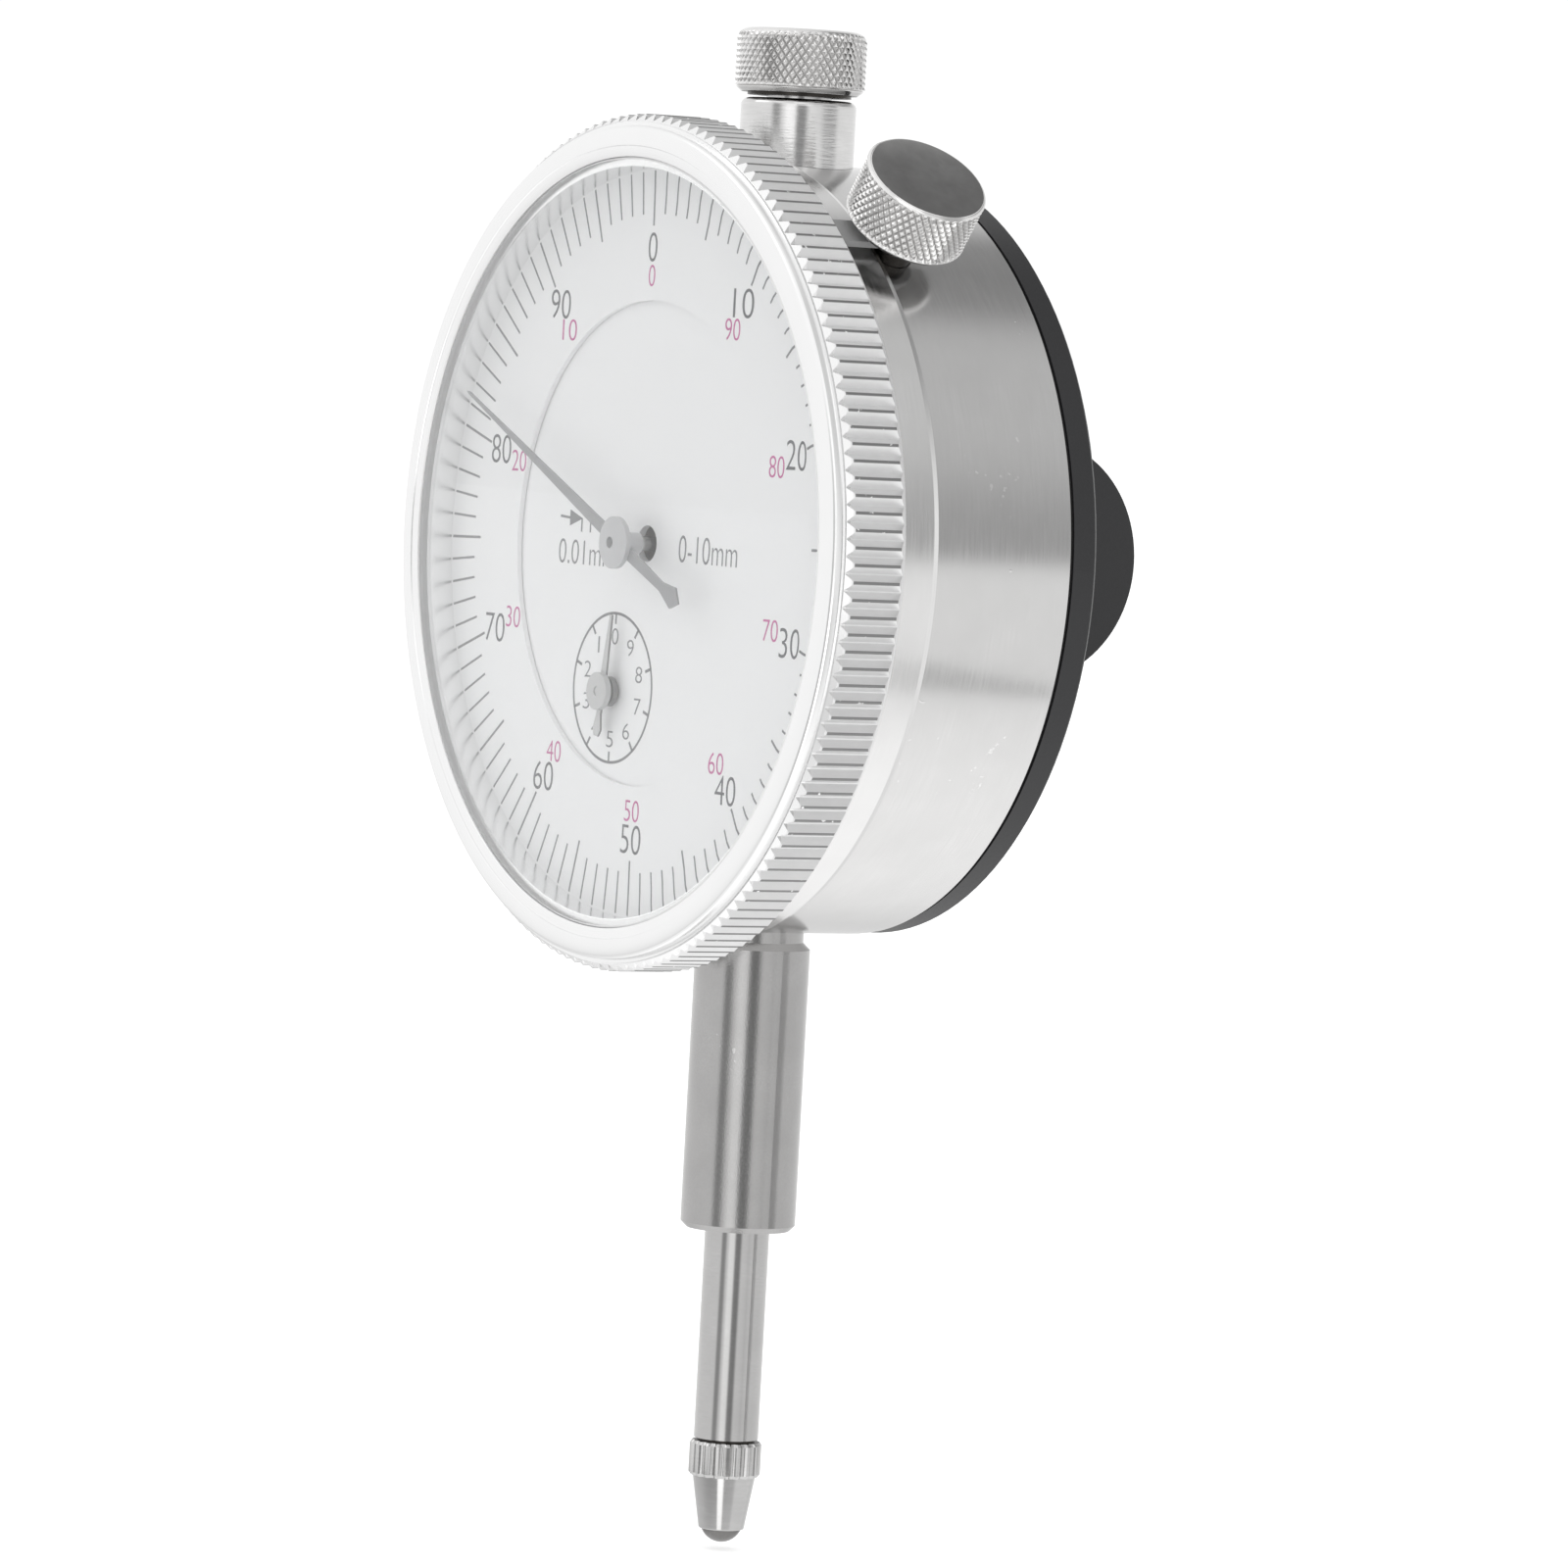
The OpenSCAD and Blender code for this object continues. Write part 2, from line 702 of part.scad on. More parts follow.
module rack_pinion() {
    color("gold") on_dial() translate([-shaft_x, -shaft_z, -1.2]) difference() {
        linear_extrude(2.4) rotate(180 / rack_pinion_teeth)
            polygon(gear_outline(rack_pinion_teeth, 1));
        translate([0, 0, -1]) cylinder(r = shaft_r, h = 5);
    }
}

module rack_pinion_shaft() {
    color("silver") on_dial() translate([-shaft_x, -shaft_z, back_plate_front - back_plate_t])
        cylinder(r = shaft_r, h = 10.9 - back_plate_front + back_plate_t, $fn = 48);
}

module wheel_2d() {
    spokes = 4;
    spoke_half = 0.8;
    hub_r = 2.6;
    rim_r = 8.6;
    difference() {
        polygon(gear_outline(wheel_teeth, 0.9));
        for (k = [0:spokes - 1]) {
            rotate(360 * k / spokes + 45) difference() {
                intersection() {
                    circle(r = rim_r);
                    rotate(-45) square(20);
                }
                circle(r = hub_r);
                rotate(-45) square([20, spoke_half]);
                rotate(-45) square([spoke_half, 20]);
            }
        }
        circle(r = shaft_r);
    }
}

module large_gear() {
    color("gold") dial_plate(wheel_back, wheel_back + wheel_t) translate([-shaft_x, -shaft_z])
        rotate(mesh_angle) wheel_2d();
}

module takeup_gear() {
    color("gold") dial_plate(wheel_back, wheel_back + wheel_t) translate([shaft_x, shaft_z])
        rotate(mesh_angle + 180) wheel_2d();
}

module takeup_shaft() {
    color("silver") on_dial() translate([shaft_x, shaft_z, back_plate_front - back_plate_t])
        cylinder(r = shaft_r, h = partition_back - back_plate_front + back_plate_t, $fn = 48);
}

module hairspring_collet() {
    color("gold") on_dial() translate([shaft_x, shaft_z, wheel_back + wheel_t + 0.1])
        tube(shaft_r, 1.15, 1.3);
}

module centre_pinion() {
    color("gold") on_dial() translate([0, 0, wheel_back - 0.4]) difference() {
        linear_extrude(wheel_t + 0.8) rotate(mesh_angle + 180 / centre_pinion_teeth)
            polygon(gear_outline(centre_pinion_teeth, 1));
        translate([0, 0, -1]) cylinder(r = centre_shaft_r, h = 5);
    }
}

module centre_shaft() {
    color("silver") on_dial() translate([0, 0, bridge_back])
        cylinder(r = centre_shaft_r, h = 12.4 - bridge_back, $fn = 48);
}

module pointer_hub() {
    hub_r = 1.8;
    hub_top = 12.85;
    hub_base = pointer_back + pointer_t;
    tube_back = 10.6;
    dome_r = 6;
    color("gray") on_dial() difference() {
        union() {
            intersection() {
                translate([0, 0, hub_base]) cylinder(r = hub_r, h = 2);
                translate([0, 0, hub_top - dome_r]) sphere(r = dome_r);
            }
            translate([0, 0, tube_back]) cylinder(r = hub_tube_r, h = hub_base - tube_back + eps);
        }
        translate([0, 0, 9]) cylinder(r = centre_shaft_r, h = 3.4);
        translate([0, 0, 12]) cylinder(r = 0.4, h = 2, $fn = 24);
    }
}

module main_pointer() {
    tail_neck = 6.5;
    tail_wide = 8.25;
    tail_len = 9.1;
    color("gray") dial_plate(pointer_back, pointer_back + pointer_t) rotate(pointer_rest) difference() {
        union() {
            polygon([[0, pointer_len], [-0.08, pointer_len - 0.3], [-0.5, 0], [-0.34, -tail_neck],
                [-0.79, -tail_wide], [0, -tail_len], [0.79, -tail_wide], [0.34, -tail_neck], [0.5, 0],
                [0.08, pointer_len - 0.3]]);
            circle(r = 1.5);
        }
        circle(r = hub_tube_r);
    }
}

module small_pointer() {
    needle_back = 10.6;
    needle_t = 0.15;
    base_half = 0.4;
    tip_half = 0.13;
    tail_len = 3.15;
    tail_half = 0.5;
    face = 11.15;
    color("gray") on_dial() translate([-shaft_x, -shaft_z, 0]) rotate(small_rest) difference() {
        union() {
            translate([0, 0, needle_back]) linear_extrude(needle_t) polygon([
                [-base_half, 0], [-tail_half / 2, -tail_len / 2], [-tail_half, 0.5 - tail_len],
                [-tail_half / 2, -tail_len], [tail_half / 2, -tail_len], [tail_half, 0.5 - tail_len],
                [tail_half / 2, -tail_len / 2], [base_half, 0], [tip_half, small_pointer_len],
                [-tip_half, small_pointer_len]]);
            translate([0, 0, 10]) cylinder(r = 1.03, h = 0.4);
            translate([0, 0, 10]) cylinder(r = 0.85, h = 1);
            translate([0, 0, face - 0.41]) cylinder(r = 1.3, h = 0.41);
        }
        translate([0, 0, 9]) cylinder(r = shaft_r, h = 1.9);
        translate([0, 0, face - 0.1]) cylinder(r = 0.35, h = 1, $fn = 24);
    }
}

// ---- Bezel clamp ----

module on_clamp() {
    translate([0, clamp_y, dial_z]) rotate([0, knob_angle, 0]) children();
}

// Washer round the shank with a tongue that reaches forward to the bezel's rear edge
module clamp_shoe() {
    washer_r = 2.1;
    tongue_w = 2.2;
    tongue_t = 0.5;
    tongue_front = -bezel_back + 0.1 - clamp_y;
    color("gray") on_clamp() translate([0, 0, knob_base - shoe_gap - shoe_t]) difference() {
        union() {
            cylinder(r = washer_r, h = shoe_t);
            translate([-tongue_w / 2, tongue_front, 0]) cube([tongue_w, -tongue_front, tongue_t]);
        }
        translate([0, 0, -1]) cylinder(r = shank_r + run_gap, h = shoe_t + 2);
    }
}

module clamp_knob() {
    fillet = 0.3;
    knob_r = knob_d / 2;
    color("silver") on_clamp() union() {
        translate([0, 0, knob_base]) rotate_extrude() polygon(concat(
            [[0, 0], [knob_r - 0.35, 0], [knob_r, 0.35]],
            [for (a = [0:15:90]) [knob_r - fillet * (1 - cos(a)), knob_h - fillet * (1 - sin(a))]],
            [[0, knob_h]]));
        translate([0, 0, bore_r + 0.7]) cylinder(r = shank_r, h = knob_base - bore_r);
    }
}

case_body();
stem();
stem_bush();
upper_sleeve();
upper_bush();
cover_gasket();
back_cover();
cover_screws();
lug();
lug_screws();
front_plate();
back_plate();
centre_bridge();
pillars();
plate_screws();
pivot_bushes();
guide_rail();
centre_disc();
hairspring();
hairspring_stud();
return_spring();
spring_post();
bezel_ring();
crystal();
dial_ring();
bezel_spring();
spindle();
guide_pin();
spring_hook();
contact_point();
contact_ball();
lifting_cap();
rack_pinion();
rack_pinion_shaft();
large_gear();
small_pointer();
centre_pinion();
centre_shaft();
pointer_hub();
main_pointer();
takeup_gear();
takeup_shaft();
hairspring_collet();
clamp_shoe();
clamp_knob();
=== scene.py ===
"""Looks of the plunger dial indicator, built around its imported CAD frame.

Lengths are millimetres in the row frame and become metres through MM. The dial faces -Y, the
plunger runs along Z, and "forward" is the distance in front of the plunger's axis.
"""

import json
import math

import bmesh
import bpy
from mathutils import Matrix, Vector


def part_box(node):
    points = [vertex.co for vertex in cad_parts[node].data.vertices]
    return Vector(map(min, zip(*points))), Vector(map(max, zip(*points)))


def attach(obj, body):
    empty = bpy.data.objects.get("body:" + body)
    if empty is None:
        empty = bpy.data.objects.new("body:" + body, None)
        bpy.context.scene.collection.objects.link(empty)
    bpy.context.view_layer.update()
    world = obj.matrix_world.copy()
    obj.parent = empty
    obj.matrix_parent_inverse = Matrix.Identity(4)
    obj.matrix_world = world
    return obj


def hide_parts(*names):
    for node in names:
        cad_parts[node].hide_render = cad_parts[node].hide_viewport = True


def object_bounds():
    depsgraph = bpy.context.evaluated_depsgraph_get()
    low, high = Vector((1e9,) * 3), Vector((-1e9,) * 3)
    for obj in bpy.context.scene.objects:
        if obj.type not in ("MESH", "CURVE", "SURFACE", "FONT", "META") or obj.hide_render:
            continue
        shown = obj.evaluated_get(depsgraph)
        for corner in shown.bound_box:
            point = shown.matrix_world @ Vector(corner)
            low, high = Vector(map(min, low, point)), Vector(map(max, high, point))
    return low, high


MM = 0.001

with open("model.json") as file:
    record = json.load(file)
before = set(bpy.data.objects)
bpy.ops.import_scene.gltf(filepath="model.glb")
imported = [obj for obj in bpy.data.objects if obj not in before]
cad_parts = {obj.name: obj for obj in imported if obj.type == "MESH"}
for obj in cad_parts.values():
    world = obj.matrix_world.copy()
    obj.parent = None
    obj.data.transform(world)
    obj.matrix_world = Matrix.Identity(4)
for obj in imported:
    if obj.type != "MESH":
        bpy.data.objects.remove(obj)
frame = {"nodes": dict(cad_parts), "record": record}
nodes = frame["nodes"]
cad_low, cad_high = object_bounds()


def box(node):
    """Lowest and highest corner of a CAD node, in millimetres."""
    low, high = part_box(node)
    return low / MM, high / MM


# ---- Sizes that the frame gives ----

crystal_low, crystal_high = box("crystal")
bezel_low, bezel_high = box("bezel_ring")
ring_low, ring_high = box("dial_ring")
cap_low, cap_high = box("lifting_cap")
point_low, point_high = box("contact_point")
case_high = box("case_body")[1]
dial_z = (crystal_low.z + crystal_high.z) / 2
crystal_r = (crystal_high.z - crystal_low.z) / 2
bezel_r = (bezel_high.z - bezel_low.z) / 2
bezel_back, bezel_front = -bezel_high.y, -bezel_low.y
ring_face = -ring_low.y
ring_r = (ring_high.z - ring_low.z) / 2
disc_face = -box("centre_disc")[0].y
small_front = -box("small_pointer")[0].y

# ---- Sizes that several pieces share ----

grip_front = 12.72  # front end of the bezel's teeth
dull_front = 12.4  # the bezel's grip is duller behind this
shoulder_r = 28.5  # outer shoulder of the bezel's lip
case_r = 26.65  # the case's side behind its raised band
skin = 0.003  # how far a finer surface stands proud of the CAD's


# ---- Axes and mesh building ----


class Axis:
    """A turning axis: angle 0 is up, and angles grow towards left."""

    def __init__(self, origin, along, up):
        self.origin = Vector(origin)
        self.along = Vector(along).normalized()
        self.up = Vector(up).normalized()
        self.left = self.along.cross(self.up)

    def point(self, radius, angle, height):
        out = self.up * math.cos(angle) + self.left * math.sin(angle)
        return (self.origin + self.along * height + out * radius) * MM

    def flat(self, x, y, height):
        """A point on a face across the axis: x to the right and y up, seen from in front."""
        return (self.origin + self.along * height + self.up * y - self.left * x) * MM


dial = Axis((0, 0, dial_z), (0, -1, 0), (0, 0, 1))
plunger = Axis((0, 0, 0), (0, 0, 1), (0, -1, 0))


def add_object(name, mesh, body, look, crease=30):
    """Puts a finished mesh into the scene as a piece that rides on a CAD body."""
    mesh.shade_smooth()
    mesh.set_sharp_from_angle(angle=math.radians(crease))
    mesh.materials.append(look)
    piece = bpy.data.objects.new(name, mesh)
    bpy.context.scene.collection.objects.link(piece)
    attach(piece, body)
    return piece


def mesh_from(name, points, faces):
    """A mesh with doubled points merged and its faces turned outward."""
    mesh = bpy.data.meshes.new(name)
    mesh.from_pydata(points, [], faces)
    work = bmesh.new()
    work.from_mesh(mesh)
    bmesh.ops.remove_doubles(work, verts=work.verts, dist=1e-4 * MM)
    bmesh.ops.recalc_face_normals(work, faces=work.faces)
    work.to_mesh(mesh)
    work.free()
    return mesh


def rounded(corners):
    """Closed outline from [x, y, radius] corners, each corner turned into an arc of its radius."""
    steps = 4
    outline = []
    for i, (x, y, radius) in enumerate(corners):
        corner = Vector((x, y))
        if radius == 0:
            outline.append((x, y))
            continue
        before = (Vector(corners[i - 1][:2]) - corner).normalized()
        after = (Vector(corners[(i + 1) % len(corners)][:2]) - corner).normalized()
        half = before.angle(after) / 2
        reach = radius / math.tan(half)
        centre = corner + (before + after).normalized() * radius / math.sin(half)
        start = corner + before * reach - centre
        end = corner + after * reach - centre
        sweep = start.angle(end)
        for k in range(steps + 1):
            share = k / steps
            spot = start * math.sin((1 - share) * sweep) + end * math.sin(share * sweep)
            outline.append(tuple(centre + spot / math.sin(sweep)))
    return outline


def swept_faces(rows, columns, closed=True, split=None):
    """Faces between the neighbouring columns of a swept outline. split may cut a face in two: it
    returns 1 or -1 for the diagonal, or 0."""
    faces = []
    for column in range(columns if closed else columns - 1):
        here, there = column * rows, (column + 1) % columns * rows
        for row in range(rows):
            step = (row + 1) % rows
            a, b, c, d = here + row, there + row, there + step, here + step
            diagonal = split(column, row) if split else 0
            if diagonal > 0:
                faces += [(a, b, c), (a, c, d)]
            elif diagonal < 0:
                faces += [(a, b, d), (b, c, d)]
            else:
                faces.append((a, b, c, d))
    return faces


def lathe(name, profile, columns, axis, shape=None, split=None):
    """Turns a closed [radius, height] outline about an axis. shape may change a point of a column,
    and split may cut a face in two."""
    points = []
    for c in range(columns):
        angle = 2 * math.pi * c / columns
        for radius, height in profile:
            if shape:
                radius, height = shape(radius, height, angle, c)
            points.append(axis.point(radius, angle, height))
    return mesh_from(name, points, swept_faces(len(profile), columns, split=split))


# ---- Materials ----


def add_node(tree, kind, inputs=(), **settings):
    """Adds a shader node. Each of its inputs is a constant or a socket to link."""
    made = tree.nodes.new(kind)
    for key, value in settings.items():
        setattr(made, key, value)
    for socket, value in dict(inputs).items():
        if isinstance(value, bpy.types.NodeSocket):
            tree.links.new(value, made.inputs[socket])
        else:
            made.inputs[socket].default_value = value
    return made


class Look:
    """A Principled material whose detail comes from noise in the object's own coordinates."""

    def __init__(self, name, **sockets):
        self.material = bpy.data.materials.new(name)
        self.material.use_nodes = True
        self.tree = self.material.node_tree
        self.shader = self.tree.nodes["Principled BSDF"]
        for socket, value in sockets.items():
            self.shader.inputs[socket.replace("_", " ")].default_value = value
        self.place = self.tree.nodes.new("ShaderNodeTexCoord").outputs["Object"]

    def node(self, kind, inputs=(), **settings):
        """Adds a node to this material."""
        return add_node(self.tree, kind, inputs, **settings)

    def math(self, operation, first, second=0.0):
        return self.node("ShaderNodeMath", {0: first, 1: second}, operation=operation).outputs[0]

    def stretched(self, scale, place=None):
        """Coordinates scaled apart on each axis, in features per millimetre."""
        per_metre = tuple(s / MM for s in scale)
        inputs = {"Vector": place or self.place, "Scale": per_metre}
        return self.node("ShaderNodeMapping", inputs).outputs[0]

    def noise(self, scale, detail, rough=0.5, place=None):
        """A cloud from 0 to 1, with its own scale in features per millimetre on each axis."""
        vector = self.stretched(scale, place)
        inputs = {"Vector": vector, "Scale": 1.0, "Detail": detail, "Roughness": rough}
        return self.node("ShaderNodeTexNoise", inputs).outputs["Fac"]

    def radial(self, axis):
        """Coordinates (distance from the axis, distance along it, 0), in metres."""
        centre = axis.origin * MM

        def vector(operation, first, second=(0, 0, 0)):
            return self.node("ShaderNodeVectorMath", {0: first, 1: tuple(second)}, operation=operation)

        offset = vector("SUBTRACT", self.place, centre).outputs[0]
        along = vector("DOT_PRODUCT", offset, axis.along).outputs["Value"]
        across = vector("CROSS_PRODUCT", offset, axis.along).outputs[0]
        radius = vector("LENGTH", across).outputs["Value"]
        return self.node("ShaderNodeCombineXYZ", {0: radius, 1: along}).outputs[0]

    def span(self, value, start, end, low=0.0, high=1.0):
        """Maps the range start to end, with its ends held, to the range low to high."""
        inputs = {"Value": value, "From Min": start, "From Max": end, "To Min": low, "To Max": high}
        return self.node("ShaderNodeMapRange", inputs).outputs["Result"]

    def tint(self, factor, dark, light, scale=1.0):
        """Base colour that varies between two colours by a factor, times a scale."""
        colours = {"Factor": factor, 6: (*dark, 1), 7: (*light, 1)}
        mix = self.node("ShaderNodeMix", colours, data_type="RGBA").outputs[2]
        scaled = self.node("ShaderNodeVectorMath", {0: mix, "Scale": scale}, operation="SCALE").outputs[0]
        self.tree.links.new(scaled, self.shader.inputs["Base Color"])

    def roughen(self, factor, low, high):
        """Roughness from low to high over the usual range of a noise."""
        self.tree.links.new(self.span(factor, 0.25, 0.75, low, high), self.shader.inputs["Roughness"])

    def bump(self, factor, height):
        """Raises the surface by up to a height in millimetres."""
        inputs = {"Height": factor, "Distance": height * MM, "Strength": 1.0}
        bump = self.node("ShaderNodeBump", inputs).outputs["Normal"]
        self.tree.links.new(bump, self.shader.inputs["Normal"])

    def clear_where(self, factor):
        """Lets light pass straight through where a factor is 1."""
        clear = self.node("ShaderNodeBsdfTransparent").outputs[0]
        mix = self.node("ShaderNodeMixShader", {0: factor, 1: self.shader.outputs[0], 2: clear})
        surface = self.tree.nodes["Material Output"].inputs["Surface"]
        self.tree.links.new(mix.outputs[0], surface)


def grey(value, warmth=0.0):
    """A grey, a little yellow for a positive warmth."""
    return (value + warmth, value, value - warmth)


def metal(name, dark, light, rough, grain, depth, warmth=0.004, nicks=0.0, groove=None):
    """Metal with turned or brushed grain: grain is its features per millimetre on each axis, and
    depth its height in millimetres. nicks is the height of sparse small dents and dust. groove is
    (axis, radius, depth, end) of a knurled rim, whose grooves get painted shade, darker towards
    their floor, up to a height along its axis."""
    look = Look(name, Metallic=1.0)
    grain_noise = look.noise(grain, detail=3.0, rough=0.6)
    cloud = look.noise((0.35, 0.35, 0.35), detail=4.0)
    relief = look.math("MULTIPLY", grain_noise, depth)
    shade = look.math("MULTIPLY", grain_noise, cloud)
    if nicks:
        spots = look.noise((2.6, 1.9, 2.3), detail=1.0)
        patch = look.noise((0.16, 0.2, 0.13), detail=2.0)
        nick = look.span(look.math("MULTIPLY", spots, patch), 0.455, 0.5)
        relief = look.math("ADD", relief, look.math("MULTIPLY", nick, nicks))
        shade = look.math("ADD", shade, nick)
    clean = 1.0
    # painted shade: a knurled rim's colour darkens towards the floor of its grooves, up to a height along
    # its axis
    if groove:
        axis, rim, cut, end = groove
        spot = look.node("ShaderNodeSeparateXYZ", {0: look.radial(axis)}).outputs
        groove_shade = look.span(spot["X"], (rim - cut) * MM, (rim - 0.3 * cut) * MM, low=0.7)
        clean = look.math("MAXIMUM", groove_shade, look.span(spot["Y"], (end - 0.2) * MM, end * MM))
    look.tint(shade, grey(dark, warmth), grey(light, warmth), clean)
    look.roughen(grain_noise, rough * 0.8, rough * 1.25)
    look.bump(relief, 1.0)
    return look.material


def satin_chrome(name, axis, edge, inner, tip):
    """Satin chrome of the bezel: bright, with a duller grip behind an edge and outside an inner
    radius, whose grey is a little darker as painted shade between the teeth. The grip carries
    dark lines of painted shade along its tooth crests, broken by a few bright spots. Sizes are
    millimetres."""
    look = Look(name, Metallic=1.0)
    place = look.radial(axis)
    spot = look.node("ShaderNodeSeparateXYZ", {0: place}).outputs

    def past(value, start, width):
        return look.span(value, start * MM, (start + width) * MM)

    def blend(factor, dark, light):
        made = look.node("ShaderNodeMix", {"Factor": factor}, data_type="RGBA")
        for socket, colour in ((6, dark), (7, light)):
            if isinstance(colour, float):
                made.inputs[socket].default_value = (*grey(colour), 1)
            else:
                look.tree.links.new(colour, made.inputs[socket])
        return made.outputs[2]

    grain = look.noise((5.0, 1.2, 1.0), detail=3.0, place=place)
    worn = look.noise((0.5, 0.5, 0.5), detail=4.0)
    shade = look.math("MULTIPLY", grain, worn)
    behind = look.math("SUBTRACT", 1.0, past(spot["Y"], edge - 0.04, 0.04))
    grip = look.math("MULTIPLY", behind, past(spot["X"], inner, 0.1))
    # painted shade: a dark line along each tooth tip, broken by a few bright spots
    tip_shade_line = past(spot["X"], tip - 0.05, 0.03)
    nick = look.span(look.noise((1.7, 1.7, 1.7), detail=3.0), 0.67, 0.71)
    tips = blend(nick, 0.3, 1.0)
    # the teeth's grey is a little darker than the lip's, as painted shade between the teeth
    teeth = blend(tip_shade_line, blend(shade, 0.86, 0.98), tips)
    lip = blend(shade, 0.915, 0.955)
    look.tree.links.new(blend(grip, lip, teeth), look.shader.inputs["Base Color"])
    look.tree.links.new(look.span(grip, 0.0, 1.0, 0.24, 0.46), look.shader.inputs["Roughness"])
    look.bump(grain, 0.0002)
    return look.material


def two_tone(name, axis, edge, front, back, rough):
    """Satin coat of one grey in front of an edge and another behind it."""
    look = Look(name)
    along = look.node("ShaderNodeSeparateXYZ", {0: look.radial(axis)}).outputs["Y"]
    side = look.span(along, (edge - 0.01) * MM, edge * MM)
    grain = look.noise((9.0, 9.0, 9.0), detail=4.0)
    look.tint(side, grey(back), grey(front))
    look.roughen(grain, rough * 0.9, rough * 1.15)
    look.bump(grain, 0.0008)
    return look.material


def paint(name, colour, rough, depth, spread, scale=9.0):
    """Matt or satin coat with a fine grain. spread is the grain's darkest tone over its lightest."""
    look = Look(name)
    grain = look.noise((scale, scale, scale), detail=4.0)
    look.tint(grain, tuple(c * spread for c in colour), colour)
    look.roughen(grain, rough * 0.9, rough * 1.15)
    look.bump(grain, depth)
    return look.material


def glass(name):
    """Clear crystal that lets light through to the dial."""
    look = Look(name, Transmission_Weight=1.0, IOR=1.46)
    look.shader.inputs["Base Color"].default_value = (0.985, 0.99, 0.99, 1)
    haze = look.noise((0.8, 0.8, 0.8), detail=3.0)
    look.roughen(haze, 0.0, 0.02)
    look.clear_where(look.node("ShaderNodeLightPath").outputs["Is Shadow Ray"])
    return look.material


case_satin = metal("case_satin", 0.66, 0.80, 0.17, (0.3, 9.0, 0.3), 0.0002, nicks=0.004)
band_satin = metal("band_satin", 0.76, 0.92, 0.2, (0.3, 9.0, 0.3), 0.0002)
ground = metal("ground_steel", 0.38, 0.54, 0.14, (9.0, 9.0, 7.0), 0.005, nicks=0.003)
plunger_steel = metal("plunger_steel", 0.46, 0.62, 0.12, (1.6, 1.6, 16.0), 0.0018, nicks=0.003)
bezel_satin = satin_chrome("bezel_satin", dial, dull_front, shoulder_r, bezel_r)
turned_steel = metal("turned_steel", 0.62, 0.97, 0.13, (0.4, 0.4, 7.0), 0.016)
nickel = metal("knurled_nickel", 0.66, 0.84, 0.14, (3.0, 3.0, 3.0), 0.0003, warmth=0.006)
# darker copy of the knob's nickel: partly blotchy stains, partly painted shade for the dark reflection on
# the knob's face
knob_top_shade = metal("knob_top_shade", 0.34, 0.66, 0.13, (0.5, 0.5, 0.5), 0.0006, nicks=0.002)
bright_steel = metal("bright_steel", 0.52, 0.74, 0.14, (0.8, 0.8, 6.0), 0.002)
bush_bronze = metal("bush_bronze", 0.42, 0.62, 0.3, (3.0, 3.0, 12.0), 0.0006, warmth=0.08)
plate_brass = metal("plate_brass", 0.55, 0.72, 0.3, (12.0, 1.0, 1.0), 0.0006, warmth=0.06)
gear_brass = metal("gear_brass", 0.58, 0.78, 0.22, (3.0, 10.0, 3.0), 0.0004, warmth=0.18)
movement_steel = metal("movement_steel", 0.45, 0.62, 0.2, (6.0, 6.0, 6.0), 0.0004)
spring_blue = metal("spring_steel", 0.2, 0.34, 0.25, (8.0, 8.0, 8.0), 0.0004, warmth=-0.06)
carbide = metal("ball_carbide", 0.16, 0.3, 0.1, (5.0, 5.0, 5.0), 0.0002)
# near-black steel used only as painted shade in the narrow gaps under the lifting cap, the clamp knob and
# the contact point's collar
painted_shade_steel = metal("painted_shade_steel", 0.035, 0.09, 0.3, (4.0, 4.0, 4.0), 0.0006)
cover_black = paint("cover_black", (0.022, 0.022, 0.024), 0.42, 0.006, spread=0.6, scale=7.0)
gasket_black = paint("gasket_black", (0.02, 0.02, 0.02), 0.7, 0.004, spread=0.6)
dial_white = paint("dial_white", (0.95, 0.95, 0.955), 0.5, 0.0006, spread=0.985, scale=5.0)
# grey of the clamp shoe: painted shade, chosen for the shadow under the clamp knob
shoe_shade_grey = paint("shoe_shade_grey", (0.33, 0.33, 0.33), 0.4, 0.001, spread=0.8)
# white for the crystal's edge: painted light that lightens the glass's dark edge line
edge_light_white = paint("edge_light_white", (0.8, 0.8, 0.8), 0.45, 0.0006, spread=0.95)
pointer_grey = paint("pointer_grey", (0.33, 0.33, 0.34), 0.38, 0.0008, spread=0.9)
small_greys = two_tone("small_pointer_greys", dial, small_front - 0.4, 0.56, 0.21, 0.38)
hub_grey = paint("hub_grey", (0.56, 0.56, 0.57), 0.36, 0.0008, spread=0.93)
ink_grey = paint("ink_grey", (0.24, 0.24, 0.25), 0.55, 0.0006, spread=0.85)
ink_black = paint("ink_black", (0.13, 0.13, 0.14), 0.55, 0.0006, spread=0.8)
ink_red = paint("ink_red", (0.62, 0.12, 0.36), 0.55, 0.0006, spread=0.8)
crystal_clear = glass("crystal_clear")

cad_looks = {
    "satin_case": case_satin,
    "ground_steel": ground,
    "bush_bronze": bush_bronze,
    "gasket_black": gasket_black,
    "cover_black": cover_black,
    "screw_steel": movement_steel,
    "plate_brass": plate_brass,
    "movement_steel": movement_steel,
    "spring_steel": spring_blue,
    "gear_brass": gear_brass,
    "dial_white": dial_white,
    "bezel_satin": bezel_satin,
    "crystal_clear": crystal_clear,
    "pointer_grey": pointer_grey,
    "knurled_nickel": nickel,
    "ball_carbide": carbide,
}
node_slots = {part["node"]: part["material_slot"] for part in frame["record"]["subparts"]}
for node_name, node_object in nodes.items():
    node_object.data.materials.clear()
    node_object.data.materials.append(cad_looks[node_slots[node_name]])
nodes["spindle"].data.materials[0] = plunger_steel
nodes["small_pointer"].data.materials[0] = small_greys
